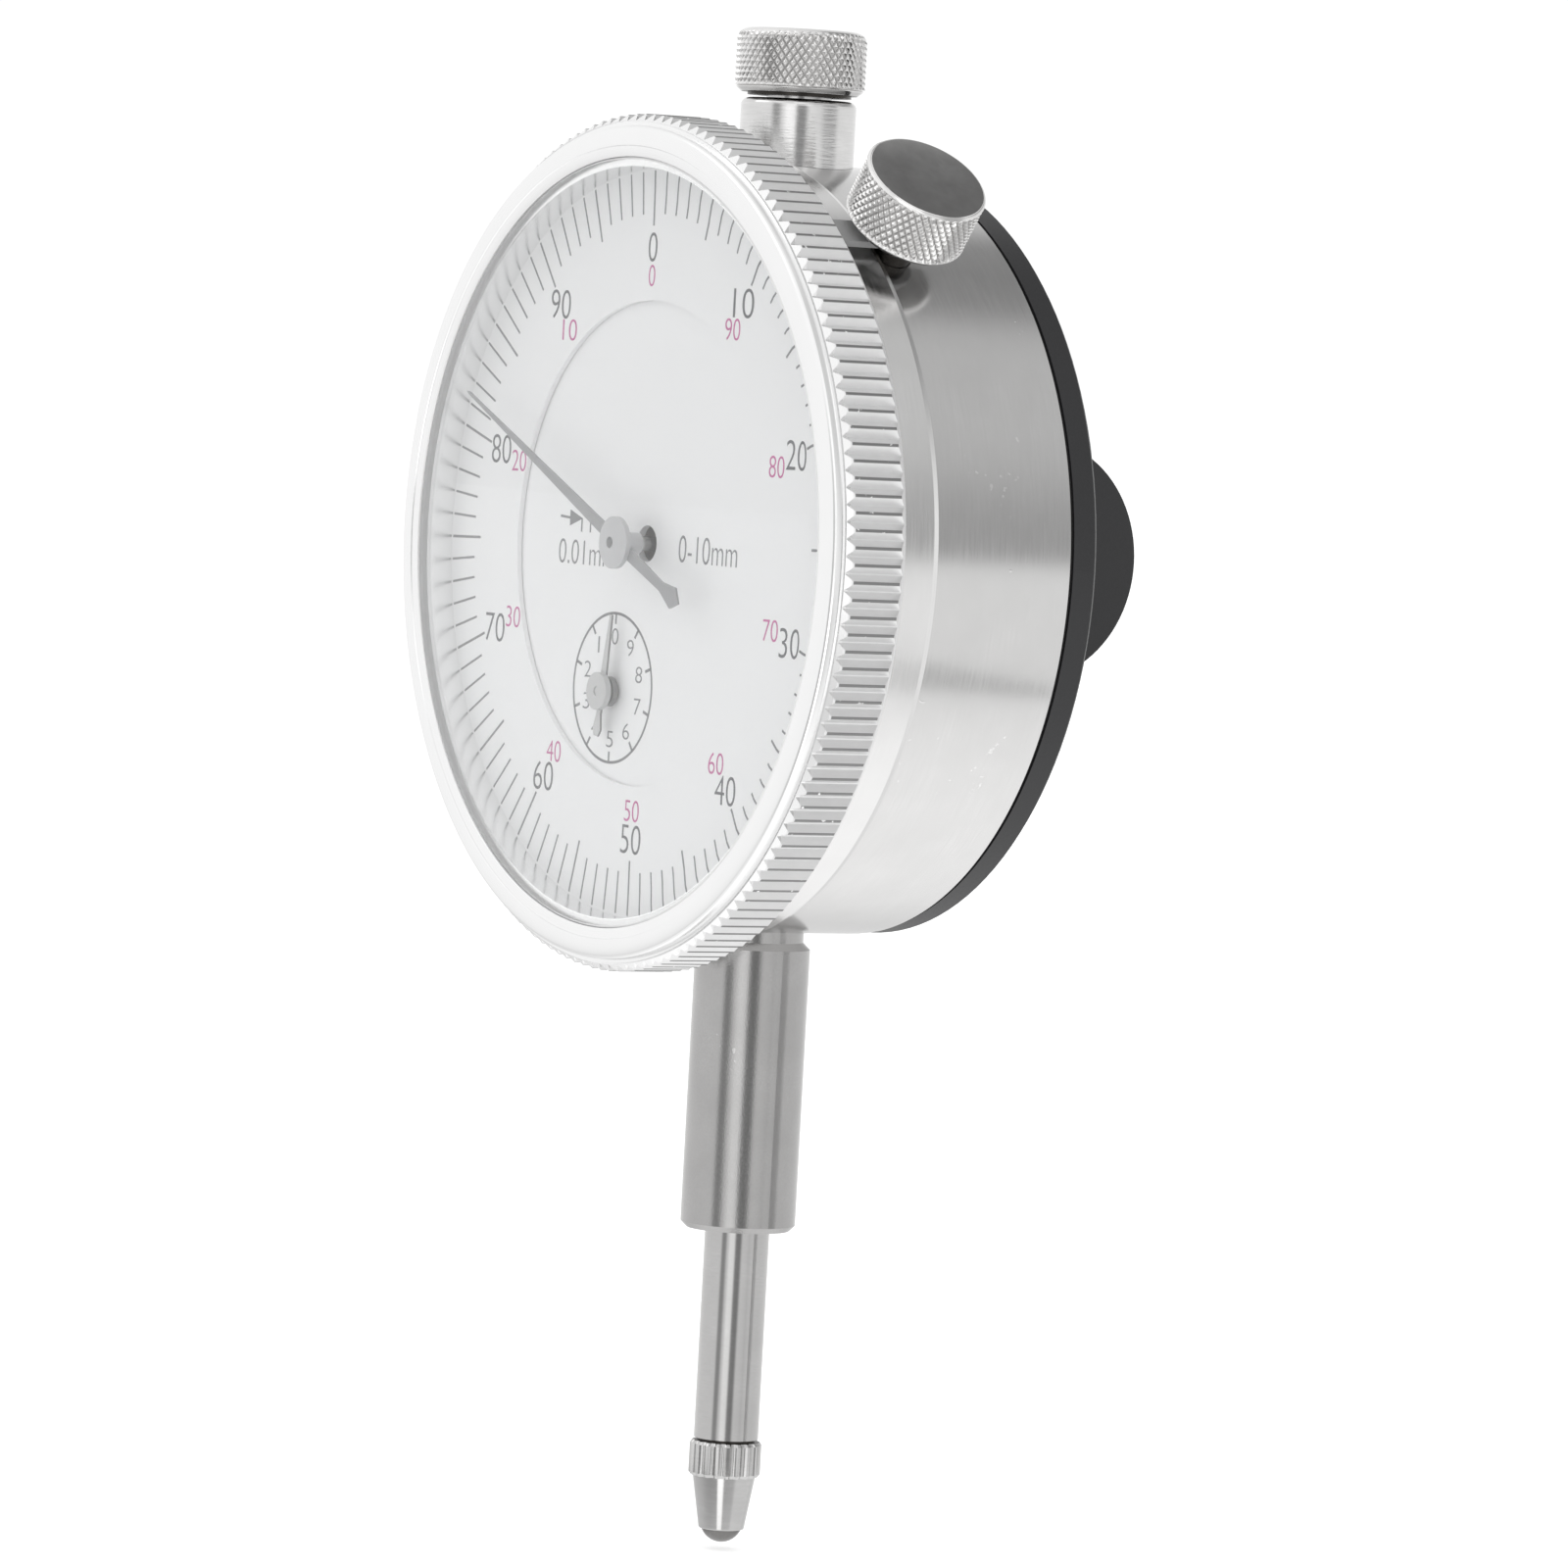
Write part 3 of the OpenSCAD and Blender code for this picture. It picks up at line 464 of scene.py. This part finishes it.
nodes["pointer_hub"].data.materials[0] = hub_grey
nodes["upper_sleeve"].data.materials[0] = turned_steel
# painted shade: the clamp shoe is grey for the shadow under the knob
nodes["clamp_shoe"].data.materials[0] = shoe_shade_grey


def recolour(piece, axis, look, low, high, outer, inner=0.0):
    """Gives another look to the faces between two heights and two distances from the axis."""
    piece.data.materials.append(look)
    for face in piece.data.polygons:
        offset = face.center / MM - axis.origin
        height = offset.dot(axis.along)
        if low < height < high and inner <= (offset - axis.along * height).length < outer:
            face.material_index = len(piece.data.materials) - 1


# ---- Bezel ----


def make_bezel():
    """Ring with a rounded satin lip and grip teeth: flat tops, V grooves and bevelled ends."""
    teeth = 160
    grip_back = 8.2
    root_r = 28.92  # floor of the grooves between the teeth
    bevel_r = root_r - 0.02
    flat_share, slope_share, root_share = 0.06, 0.28, 0.46  # of the tooth pitch, from a tip
    samples = [-flat_share, flat_share, slope_share, root_share, 1 - root_share, 1 - slope_share]
    window_r = 25.72
    seat_r = ring_r + 0.02
    core_r = 28.6
    chamfer = 0.1
    throat = bezel_front - 1.2  # back of the lip's inner wall
    lip_r = crystal_r + 0.02
    step_r = 27.12  # small step in the lip's slope
    ledge, ledge_r = grip_front + 0.06, 28.8  # flat between the lip and the teeth
    gutter, gutter_r = ledge - 0.14, 28.89

    def tooth_r(share):
        """Radius of the grip at a share of the tooth pitch."""
        away = abs(share) if share <= 0.5 else 1 - share
        depth = min(max((away - flat_share) / (root_share - flat_share), 0), 1)
        return bezel_r - (bezel_r - root_r) * depth

    lip = rounded(
        [
            (lip_r, throat, 0),
            (lip_r, bezel_front - 0.17, 0.05),
            (step_r, bezel_front - 0.09, 0),
            (step_r + 0.05, bezel_front, 0.03),
            (shoulder_r, bezel_front - 0.05, 0.34),
            (shoulder_r + 0.06, ledge, 0),
            (ledge_r, ledge, 0),
            (ledge_r + 0.02, gutter, 0),
            (gutter_r, gutter, 0),
        ]
    )
    grip = [("bevel", grip_front), ("front", grip_front), ("back", grip_back), ("bevel", grip_back)]
    inside = [
        (core_r, grip_back - chamfer),
        (core_r, bezel_back + chamfer),
        (core_r - chamfer, bezel_back),
        (seat_r, bezel_back),
        (seat_r, ring_face),
        (window_r, ring_face),
        (window_r, throat),
    ]
    profile = lip + grip + inside
    points = []
    columns = teeth * len(samples)
    for c in range(columns):
        share = samples[c % len(samples)]
        angle = 2 * math.pi * (c // len(samples) + share) / teeth
        for radius, height in profile:
            if radius == "bevel":
                radius = bevel_r
            elif radius == "front":
                radius = tooth_r(share)
                height = grip_front - (radius - bevel_r)
            elif radius == "back":
                radius = tooth_r(share)
                height = grip_back + (radius - bevel_r)
            points.append(dial.point(radius, angle, height))
    mesh = mesh_from("bezel_ring", points, swept_faces(len(profile), columns))
    piece = add_object("bezel_grip_ring", mesh, "bezel", bezel_satin, crease=20)
    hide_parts("bezel_ring")


make_bezel()


# ---- Case ----

band_back = 4.3
buried_r = case_r - 0.2  # inner faces of the skins, inside the case's wall


def make_case_band():
    """Smooth raised band behind the bezel, with the bright chamfer of its rear edge."""
    band_r = case_high.x + skin
    front = 7.68
    rise, run = 0.17, 0.45  # of the chamfer
    profile = [
        (buried_r, band_back),
        (case_r + 0.1, band_back),
        (band_r - rise, band_back),
        (band_r, band_back + run),
        (band_r, front),
        (buried_r, front),
    ]
    mesh = lathe("case_band", profile, 360, dial)
    add_object("case_band", mesh, "case", band_satin, crease=20)


def make_case_side():
    """Polished skin of the case's side from below the clamp round to the stem."""
    start, end = math.radians(-50), math.radians(-168)
    steps = 236
    back, front = -case_high.y + 0.1, band_back + 0.1
    side_r = case_r + skin
    profile = [(buried_r, back), (side_r, back), (side_r, front), (buried_r, front)]
    rows = len(profile)
    angles = [start + (end - start) * k / steps for k in range(steps + 1)]
    points = [dial.point(radius, angle, height) for angle in angles for radius, height in profile]
    ends = [tuple(range(rows)), tuple(steps * rows + r for r in range(rows))]
    mesh = mesh_from("case_side", points, ends + swept_faces(rows, steps + 1, closed=False))
    add_object("case_side", mesh, "case", case_satin, crease=20)


make_case_band()
make_case_side()


# ---- Diamond knurls ----


def knurled(name, outline, rim, axis, diamonds, low, high, depth):
    """Turned piece whose rim is cut into rows of small pyramids between two heights. The grid's
    lines follow the crossing grooves, so every pyramid has four clean facets."""
    cells, stretch = 6, 1.4  # mesh cells along a diamond, and its height over its width
    flat = 0.2  # share of the way from a ridge to a groove that isn't cut
    run_in, run_out = 0.15, 0.3  # the cut fades over these lengths at the low and high end
    columns = diamonds * cells
    step = 2 * math.pi * rim(low) / columns * stretch
    count = round((high - low) / step)
    levels = [low + (high - low) * k / count for k in range(count + 1)]
    below = [p for p in outline if p[1] < low - 0.02]
    above = [p for p in outline if p[1] > high + 0.02]
    profile = below + [(rim(level), level) for level in levels] + above
    first = len(below)

    def away(share):
        """Distance from a ridge as a share of the way to the groove."""
        return abs(share - round(share)) * 2

    def cut(radius, height, angle, column):
        if not low - 1e-6 <= height <= high + 1e-6 or abs(radius - rim(height)) > 1e-6:
            return radius, height
        across = column / cells
        up = (height - low) / (levels[1] - low) / cells
        groove = max(away(across + up), away(across - up))
        fade = min(1.0, (height - low) / run_in, (high - height) / run_out)
        return radius - depth * max(0.0, groove - flat) / (1 - flat) * fade, height

    def split(column, row):
        if not first <= row < first + count:
            return 0
        across, up = (column + 0.5) / cells, (row - first + 0.5) / cells
        return -1 if away(across + up) > away(across - up) else 1

    return lathe(name, profile, columns, axis, cut, split)


def rounded_rim(radius, top, fillet):
    """The radius of a rim at a height, with a fillet of a given radius below its top."""

    def rim(height):
        over = max(0.0, height - (top - fillet))
        return radius - fillet + math.sqrt(max(0.0, fillet**2 - over**2))

    return rim


knurl_depth = 0.24
pole = 0.001  # radius that stands for a point on the axis


def knurl_nickel(name, axis, radius, end):
    """Bright nickel of a knurled rim, with painted shade in its grooves up to a height."""
    groove = (axis, radius, knurl_depth, end)
    return metal(name, 0.78, 0.95, 0.13, (3.0, 3.0, 3.0), 0.0003, warmth=0.006, groove=groove)


def make_lifting_cap():
    """Knurled cap with a rounded crown, above a short neck."""
    base, top = cap_low.z, cap_high.z
    radius = (cap_high.x - cap_low.x) / 2
    neck_r, neck = 3.59, 0.2
    fillet = 0.85
    rim = rounded_rim(radius, top, fillet)
    crown = [math.radians(90 * k / 12) for k in range(13)]
    outline = rounded(
        [
            (pole, base, 0),
            (neck_r, base, 0),
            (neck_r, base + neck, 0),
            (radius - 0.5, base + neck, 0.06),
            (radius, base + neck + 0.4, 0.05),
        ]
    )
    outline += [
        (radius - fillet * (1 - math.cos(a)), top - fillet * (1 - math.sin(a))) for a in crown
    ]
    outline.append((pole, top))
    mesh = knurled("lifting_cap", outline, rim, plunger, 50, base + 0.66, top - 0.22, knurl_depth)
    look = knurl_nickel("cap_nickel", plunger, radius, top - 0.5)
    piece = add_object("lifting_cap_knurled", mesh, "plunger", look, crease=28)
    # painted shade: the cap's neck is near-black for the shadow in the gap above the sleeve
    recolour(piece, plunger, painted_shade_steel, base - 1, base + neck + 0.05, radius)
    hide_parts("lifting_cap")


def make_clamp_knob():
    """Knurled screw knob with a flat dome. Its heights are distances from the dial's axis."""
    low_box, high_box = box("clamp_knob")
    turned = math.radians(39)
    middle = (0, (low_box.y + high_box.y) / 2, dial_z)
    axis = Axis(middle, (math.sin(turned), 0, math.cos(turned)), (0, -1, 0))
    radius = (high_box.y - low_box.y) / 2
    base, top = 28.9, 33.4
    shank_r, shank_end = 1.5, 24.9
    dome, chamfer = 0.2, 0.17
    shoulder = top - dome - chamfer
    low, high = base + 0.4, shoulder - 0.02
    face_r = radius - chamfer
    outline = rounded(
        [
            (pole, shank_end, 0),
            (shank_r, shank_end, 0.1),
            (shank_r, base, 0),
            (radius - 0.35, base, 0.06),
            (radius, base + 0.35, 0.05),
            (radius, shoulder, 0.05),
            (face_r, top - dome, 0.03),
        ]
    )
    rings = 12
    shares = [0.985, *(k / rings for k in range(rings - 1, -1, -1))]
    outline += [(face_r * share or pole, top - dome * share**2) for share in shares]
    mesh = knurled("clamp_knob", outline, lambda height: radius, axis, 48, low, high, knurl_depth)
    look = knurl_nickel("knob_nickel", axis, radius, high)
    piece = add_object("clamp_knob_knurled", mesh, "clamp_screw", look, crease=28)
    # painted shade: the knob's shank is near-black for the shadow under the knob
    recolour(piece, axis, painted_shade_steel, shank_end - 1, base + 0.1, shank_r + 0.05)
    # the knob's domed face gets the darker nickel: stains plus painted shade
    recolour(piece, axis, knob_top_shade, top - dome - 0.001, top + 1, face_r)
    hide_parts("clamp_knob")


make_lifting_cap()
make_clamp_knob()


# ---- Contact point ----


def make_contact_point():
    """Fluted collar over a polished cone that holds the ball."""
    ball_low, ball_high = box("contact_ball")
    ball_r = (ball_high.x - ball_low.x) / 2
    tip = ball_low.z
    top = tip + 7.33
    cup_r, lip_r = 1.40, 1.58  # cone's end, where it holds the ball
    cone_r = 2.19
    seat_r = ball_r - 0.02
    collar_r = (point_high.x - point_low.x) / 2
    neck_r, neck = 2.0, 0.2
    collar_low, collar_top = top - 2.65, top - neck
    bevel_run, bevel_rise = 0.16, 0.22
    flutes, flute_depth = 20, 0.2
    flute_share = 0.75  # of the half pitch
    outline = rounded(
        [
            (pole, collar_low + 1, 0),
            (seat_r * 0.6, tip + 2.4, 0),
            (seat_r, tip + ball_r, 0),
            (cup_r, tip + 0.95, 0.05),
            (lip_r, tip + 0.98, 0.1),
            (cone_r, collar_low, 0),
            (collar_r - bevel_run, collar_low, 0.05),
            (collar_r, collar_low + bevel_rise, 0.05),
            (collar_r, collar_top - bevel_rise, 0.05),
            (collar_r - bevel_run, collar_top, 0.05),
            (neck_r, collar_top, 0),
            (neck_r, top, 0),
            (pole, top, 0),
        ]
    )

    def flute(radius, height, angle, column):
        """Cuts the collar only, and never deeper than the cone's root."""
        if radius < cone_r + 0.11:
            return radius, height
        share = (angle / (2 * math.pi) * flutes) % 1.0
        away = min(share, 1 - share) * 2
        groove = max(0.0, 1 - (away / flute_share) ** 2)
        return max(cone_r + 0.01, radius - flute_depth * groove), height

    mesh = lathe("contact_point", outline, flutes * 16, plunger, flute)
    piece = add_object("contact_point_fluted", mesh, "plunger", bright_steel, crease=28)
    # painted shade: the neck and the collar's top are near-black for the shadow in the gap below the
    # spindle
    recolour(piece, plunger, painted_shade_steel, collar_top - 0.01, top + 1, collar_r)
    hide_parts("contact_point")


make_contact_point()


# ---- Crystal ----


def make_crystal():
    """Shallow dome of even thickness on a short rim. Its edge in the bezel's seat is coloured white as
    painted light, in place of a dark edge line.
    """
    back, front = -crystal_high.y, -crystal_low.y
    thick, land = 1.0, 0.6
    edge = 0.15  # chamfer between the dome and the rim
    rise = front - back - thick
    rings = 24
    dome_r = (crystal_r**2 + rise**2) / (2 * rise)

    def dome(radius, top):
        return top - dome_r + math.sqrt(dome_r**2 - radius**2)

    radii = [crystal_r * k / rings for k in range(rings)]
    outer = [(max(r, pole), dome(r, front)) for r in radii]
    outer += [(crystal_r - edge, dome(crystal_r - edge, front)), (crystal_r, front - rise - edge)]
    inner = [(crystal_r, back), (crystal_r - land, back)]
    inner += [(max(r, pole), dome(r, front - thick)) for r in reversed(radii)]
    mesh = lathe("crystal", outer + inner, 240, dial)
    piece = add_object("crystal_dome", mesh, "bezel", crystal_clear, crease=40)
    # painted light: the crystal's outer edge faces are coloured white to lighten its dark edge line
    recolour(piece, dial, edge_light_white, back - 1, front + 1, crystal_r + 1, crystal_r - 0.35)
    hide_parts("crystal")


make_crystal()


# ---- Printing on the dial ----

ring_turn = math.radians(1.7)  # how far the photograph's dial ring is turned from upright
print_t = 0.012


def bar(points, faces, start, end, width, height):
    """Adds a thin raised bar between two points of the dial's face."""
    first, last = Vector(start), Vector(end)
    side = (last - first).normalized().orthogonal() * width / 2
    corners = [first + side, last + side, last - side, first - side]
    base = len(points)
    for level in (height, height + print_t):
        points.extend(dial.flat(c.x, c.y, level) for c in corners)
    faces.append(tuple(base + k for k in (4, 5, 6, 7)))
    faces.append(tuple(base + k for k in (3, 2, 1, 0)))
    faces.extend((base + k, base + (k + 1) % 4, base + 4 + (k + 1) % 4, base + 4 + k) for k in range(4))


def polar(radius, angle):
    """A point of the dial's face at an angle counter-clockwise from the top."""
    return (-radius * math.sin(angle), radius * math.cos(angle))


def figures(entries):
    """One mesh of raised figures. Each entry is (text, x, y, height, width, level)."""
    points, faces = [], []
    for text, x, y, tall, wide, level in entries:
        curve = bpy.data.curves.new("figure", "FONT")
        curve.body = text
        curve.offset = -0.012  # thins the strokes
        curve.extrude = 0.01
        holder = bpy.data.objects.new("figure", curve)
        bpy.context.scene.collection.objects.link(holder)
        bpy.context.view_layer.update()
        flat = bpy.data.meshes.new_from_object(holder.evaluated_get(bpy.context.evaluated_depsgraph_get()))
        across, up, lift = zip(*(v.co for v in flat.vertices))
        base = len(points)
        for i, j, k in zip(across, up, lift):
            share_x = (i - min(across)) / (max(across) - min(across)) - 0.5
            share_y = (j - min(up)) / (max(up) - min(up)) - 0.5
            raised = level + (print_t if k > 0 else 0)
            points.append(dial.flat(x + share_x * wide, y + share_y * tall, raised))
        faces.extend(tuple(base + k for k in p.vertices) for p in flat.polygons)
        bpy.data.objects.remove(holder)
        bpy.data.meshes.remove(flat)
    return points, faces


def add_print(name, points, faces, body, look):
    """Puts a mesh of printed marks onto a body of the dial."""
    return add_object(name, mesh_from(name, points, faces), body, look)


def make_graduations():
    """A hundred lines round the dial, every fifth one longer and wider."""
    points, faces = [], []
    outer, long_end, short_end = 25.6, 21.77, 22.58
    for k in range(100):
        angle = ring_turn + 2 * math.pi * k / 100
        inner, width = (long_end, 0.18) if k % 5 == 0 else (short_end, 0.16)
        bar(points, faces, polar(inner, angle), polar(outer, angle), width, ring_face)
    add_print("dial_graduations", points, faces, "bezel", ink_grey)


def make_ring_figures():
    """Black figures clockwise, and smaller red ones the other way inside them."""
    black_r, black_tall = 20.3, 2.0
    red_r, red_tall, red_scale = 18.35, 1.47, 0.73
    widths = {1: 1.12, 2: 2.6}  # of one and two black digits
    black, red = [], []
    for k in range(10):
        angle = ring_turn - 2 * math.pi * k / 10
        text = str(10 * k)
        black.append((text, *polar(black_r, angle), black_tall, widths[len(text)], ring_face))
        text = str((100 - 10 * k) % 100)
        radius = red_r - 0.7 * math.sin(angle) ** 2
        red.append((text, *polar(radius, angle), red_tall, red_scale * widths[len(text)], ring_face))
    add_print("dial_figures_black", *figures(black), "bezel", ink_black)
    add_print("dial_figures_red", *figures(red), "bezel", ink_red)


def ring_bars(points, faces, x, y, radius, width, level):
    """A thin printed circle made of short bars that overlap a little."""
    steps, overlap = 96, 0.04
    for k in range(steps):
        a, b = (2 * math.pi * (k + s) / steps for s in (-overlap, 1 + overlap))
        start = (x + radius * math.sin(a), y + radius * math.cos(a))
        end = (x + radius * math.sin(b), y + radius * math.cos(b))
        bar(points, faces, start, end, width, level)


def make_centre_prints():
    """The revolution dial, a plain arrow mark with two lines, and the range and reading. Places
    are millimetres right of the dial's centre and above it."""
    centre_x, centre_y = -3.51, -10.12
    ring, tick, figure_r = 5.15, 0.74, 3.55
    digit_tall, digit_wide, one_wide = 1.12, 0.86, 0.19
    points, faces = [], []
    ring_bars(points, faces, centre_x, centre_y, ring, 0.19, disc_face)
    small = []
    for k in range(10):
        x, y = polar(1, 2 * math.pi * k / 10)
        start = (centre_x + x * ring, centre_y + y * ring)
        end = (centre_x + x * (ring - tick), centre_y + y * (ring - tick))
        bar(points, faces, start, end, 0.2, disc_face)
        wide = one_wide if k == 1 else digit_wide
        place = (centre_x + x * figure_r, centre_y + y * figure_r)
        small.append((str(k), *place, digit_tall, wide, disc_face))
    arrow_shaft = ((-11.59, 1.38), (-10.3, 1.3))
    lines = [((x, 1.34), (x, 0.4)) for x in (-8.72, -7.56)]
    for start, end in (arrow_shaft, *lines):
        bar(points, faces, start, end, 0.17, disc_face)
    base = len(points)
    head = [(-10.33, 1.87), (-8.64, 1.32), (-10.33, 0.75)]
    for level in (disc_face, disc_face + print_t):
        points.extend(dial.flat(x, y, level) for x, y in head)
    faces.append(tuple(base + k for k in (3, 4, 5)))
    faces.append(tuple(base + k for k in (2, 1, 0)))
    faces.extend((base + k, base + (k + 1) % 3, base + 3 + (k + 1) % 3, base + 3 + k) for k in range(3))
    add_print("small_dial_marks", points, faces, "case", ink_grey)
    words = [("0.01mm", -7.9, -1.03, 1.69, 7.4, disc_face), ("0-10mm", 7.95, -0.12, 1.84, 7.5, disc_face)]
    add_print("small_dial_figures", *figures(small + words), "case", ink_grey)


make_graduations()
make_ring_figures()
make_centre_prints()


# ---- Studio ----


def make_world():
    """White for what the camera and matt surfaces see, and a studio of bright and dark panels for
    what polished surfaces mirror."""
    world = bpy.data.worlds.new("studio")
    bpy.context.scene.world = world
    world.use_nodes = True
    tree = world.node_tree
    tree.nodes.clear()

    def node(kind, inputs=(), **settings):
        return add_node(tree, kind, inputs, **settings)

    direction = node("ShaderNodeTexCoord").outputs["Generated"]
    part = node("ShaderNodeSeparateXYZ", {"Vector": direction})
    ahead = node("ShaderNodeMath", {0: part.outputs["Y"], 1: -1.0}, operation="MULTIPLY").outputs[0]
    turn = node("ShaderNodeMath", {0: part.outputs["X"], 1: ahead}, operation="ARCTAN2").outputs[0]
    inputs = {"Value": turn, "From Min": -math.pi, "From Max": math.pi}
    share = node("ShaderNodeMapRange", inputs).outputs["Result"]

    def ring(*stops):
        """Brightness round the horizon from (azimuth, value) stops. Azimuth 0 faces the dial."""
        made = node("ShaderNodeValToRGB", {"Fac": share})
        made.color_ramp.interpolation = "EASE"
        elements = made.color_ramp.elements
        while len(elements) < len(stops):
            elements.new(0.5)
        for element, (azimuth, value) in zip(elements, stops):
            element.position = 0.5 + azimuth / 360
            element.color = (value, value, value, 1)
        return made.outputs["Color"]

    def grade(source, start, end):
        """Soft change from 0 to 1 between two heights of the view direction."""
        inputs = {"Value": source, "From Min": start, "From Max": end}
        return node("ShaderNodeMapRange", inputs, interpolation_type="SMOOTHSTEP").outputs["Result"]

    def blend(factor, first, second):
        return node("ShaderNodeMix", {"Factor": factor, 6: first, 7: second}, data_type="RGBA").outputs[2]

    def plain(value):
        return (value, value, value, 1)

    low_ring = ring(
        *[(-180, 0.95), (-90, 1.0), (0, 1.0), (9, 0.42), (17, 0.42), (27, 1.0), (36, 1.35)],
        *[(49, 1.3), (58, 0.34), (70, 0.32), (81, 0.98), (102, 0.92), (116, 0.42), (134, 0.42)],
        (150, 0.95),
    )
    high_ring = ring(
        *[(-180, 0.27), (-156, 0.3), (-138, 0.75), (-90, 0.95), (0, 1.05), (60, 0.9)],
        *[(110, 0.62), (150, 0.6), (170, 0.3)],
    )
    table_ring = ring(
        *[(-180, 0.85), (-60, 0.75), (10, 0.5), (32, 0.5), (37, 1.9), (56, 1.9), (61, 0.55)],
        *[(95, 0.62), (112, 0.93)],
    )
    near_table = ring((98, 0.0), (110, 1.0), (160, 1.0), (172, 0.0))
    height = part.outputs["Z"]
    near, far = grade(height, 0.03, -0.03), grade(height, -0.16, -0.24)
    table = node("ShaderNodeMix", {"Factor": near_table, 2: far, 3: near}, data_type="FLOAT").outputs[0]
    walls = blend(grade(height, 0.1, 0.55), low_ring, high_ring)
    above = blend(grade(height, 0.88, 0.98), walls, plain(0.85))
    deep = blend(grade(height, -0.4, -0.85), table_ring, plain(1.15))
    mirror = blend(table, above, deep)
    path = node("ShaderNodeLightPath")
    matt = blend(path.outputs["Is Diffuse Ray"], plain(1.05), plain(1.04))
    shown = blend(path.outputs["Is Glossy Ray"], matt, mirror)
    background = node("ShaderNodeBackground", {"Color": shown, "Strength": 1.0})
    output = node("ShaderNodeOutputWorld")
    tree.links.new(background.outputs[0], output.inputs["Surface"])


make_world()


def area_light(name, position, target, size, power):
    """Soft square light, with places in millimetres and power in watts."""
    data = bpy.data.lights.new(name, "AREA")
    data.shape = "SQUARE"
    data.size = size * MM
    data.energy = power
    lamp = bpy.data.objects.new(name, data)
    bpy.context.scene.collection.objects.link(lamp)
    lamp.location = Vector(position) * MM
    aim = Vector(target) * MM - lamp.location
    lamp.rotation_mode = "QUATERNION"
    lamp.rotation_quaternion = aim.to_track_quat("-Z", "Y")
    return lamp


area_light("key", (-500, -700, 700), (0, 0, dial_z), 500, 0.5)
area_light("fill", (700, -300, 500), (0, 0, dial_z), 500, 0.3)


def make_floor():
    """Large white table just under the contact ball."""
    gap, radius = 0.5 * MM, 6000 * MM
    look = Look("floor_white", Roughness=0.9)
    grain = look.noise((0.02, 0.02, 0.02), detail=2.0)
    look.tint(grain, (0.93, 0.93, 0.93), (0.96, 0.96, 0.96))
    look.shader.inputs["Emission Color"].default_value = (1, 1, 1, 1)
    look.shader.inputs["Emission Strength"].default_value = 0.3
    work = bmesh.new()
    bmesh.ops.create_circle(work, cap_ends=True, segments=96, radius=radius)
    mesh = bpy.data.meshes.new("floor")
    work.to_mesh(mesh)
    work.free()
    mesh.materials.append(look.material)
    floor = bpy.data.objects.new("floor", mesh)
    bpy.context.scene.collection.objects.link(floor)
    floor.location.z = cad_low.z - gap
    floor.visible_glossy = False


make_floor()


def make_flag(name, azimuth, reach, width, low, high, shade):
    """Studio card that only the stem's and plunger's polish sees, at a distance from the plunger's
    axis. It is clear to the shorter rays from the case and bezel."""
    look = Look(name, Roughness=0.8)
    grain = look.noise((0.05, 0.05, 0.05), detail=2.0)
    look.tint(grain, grey(shade * 0.95), grey(shade))
    length = look.node("ShaderNodeLightPath").outputs["Ray Length"]
    look.clear_where(look.span(length, (reach - 6) * MM, (reach - 3.5) * MM, 1.0, 0.0))
    turn = math.radians(azimuth)
    middle = Vector((math.sin(turn), -math.cos(turn), 0)) * reach
    side = Vector((math.cos(turn), math.sin(turn), 0)) * width / 2
    corners = [middle - side, middle + side]
    points = [(c + Vector((0, 0, low))) * MM for c in corners]
    points += [(c + Vector((0, 0, high))) * MM for c in reversed(corners)]
    mesh = bpy.data.meshes.new(name)
    mesh.from_pydata(points, [], [(0, 1, 2, 3)])
    mesh.materials.append(look.material)
    card = bpy.data.objects.new(name, mesh)
    bpy.context.scene.collection.objects.link(card)
    card.visible_camera = card.visible_diffuse = card.visible_shadow = card.visible_transmission = False


make_flag("dark_flag", 127, 150, 50, -52, 2, 0.5)


def make_camera():
    """The photograph's view: low, from the right of the dial, with a slight roll."""
    azimuth, elevation, roll = (math.radians(a) for a in (57.528, 3.063, 3.141))
    distance = 587.789
    centre = Vector((0, -10.745, dial_z))
    shift_right, shift_down = 10.614, 15.96
    right = Vector((math.cos(azimuth), math.sin(azimuth), 0))
    back = Vector(
        (
            math.sin(azimuth) * math.cos(elevation),
            -math.cos(azimuth) * math.cos(elevation),
            math.sin(elevation),
        )
    )
    up = back.cross(right)
    rolled_right = right * math.cos(roll) + up * math.sin(roll)
    rolled_up = up * math.cos(roll) - right * math.sin(roll)
    data = bpy.data.cameras.new("camera")
    data.lens = 196.4
    data.sensor_width = 36
    data.clip_start, data.clip_end = 0.05, 20
    camera = bpy.data.objects.new("camera", data)
    bpy.context.scene.collection.objects.link(camera)
    place = (centre + right * shift_right - Vector((0, 0, shift_down)) + back * distance) * MM
    turn = Matrix((rolled_right, rolled_up, back)).transposed().to_4x4()
    camera.matrix_world = Matrix.Translation(place) @ turn
    bpy.context.scene.camera = camera


make_camera()
bpy.context.scene.view_settings.view_transform = "Standard"
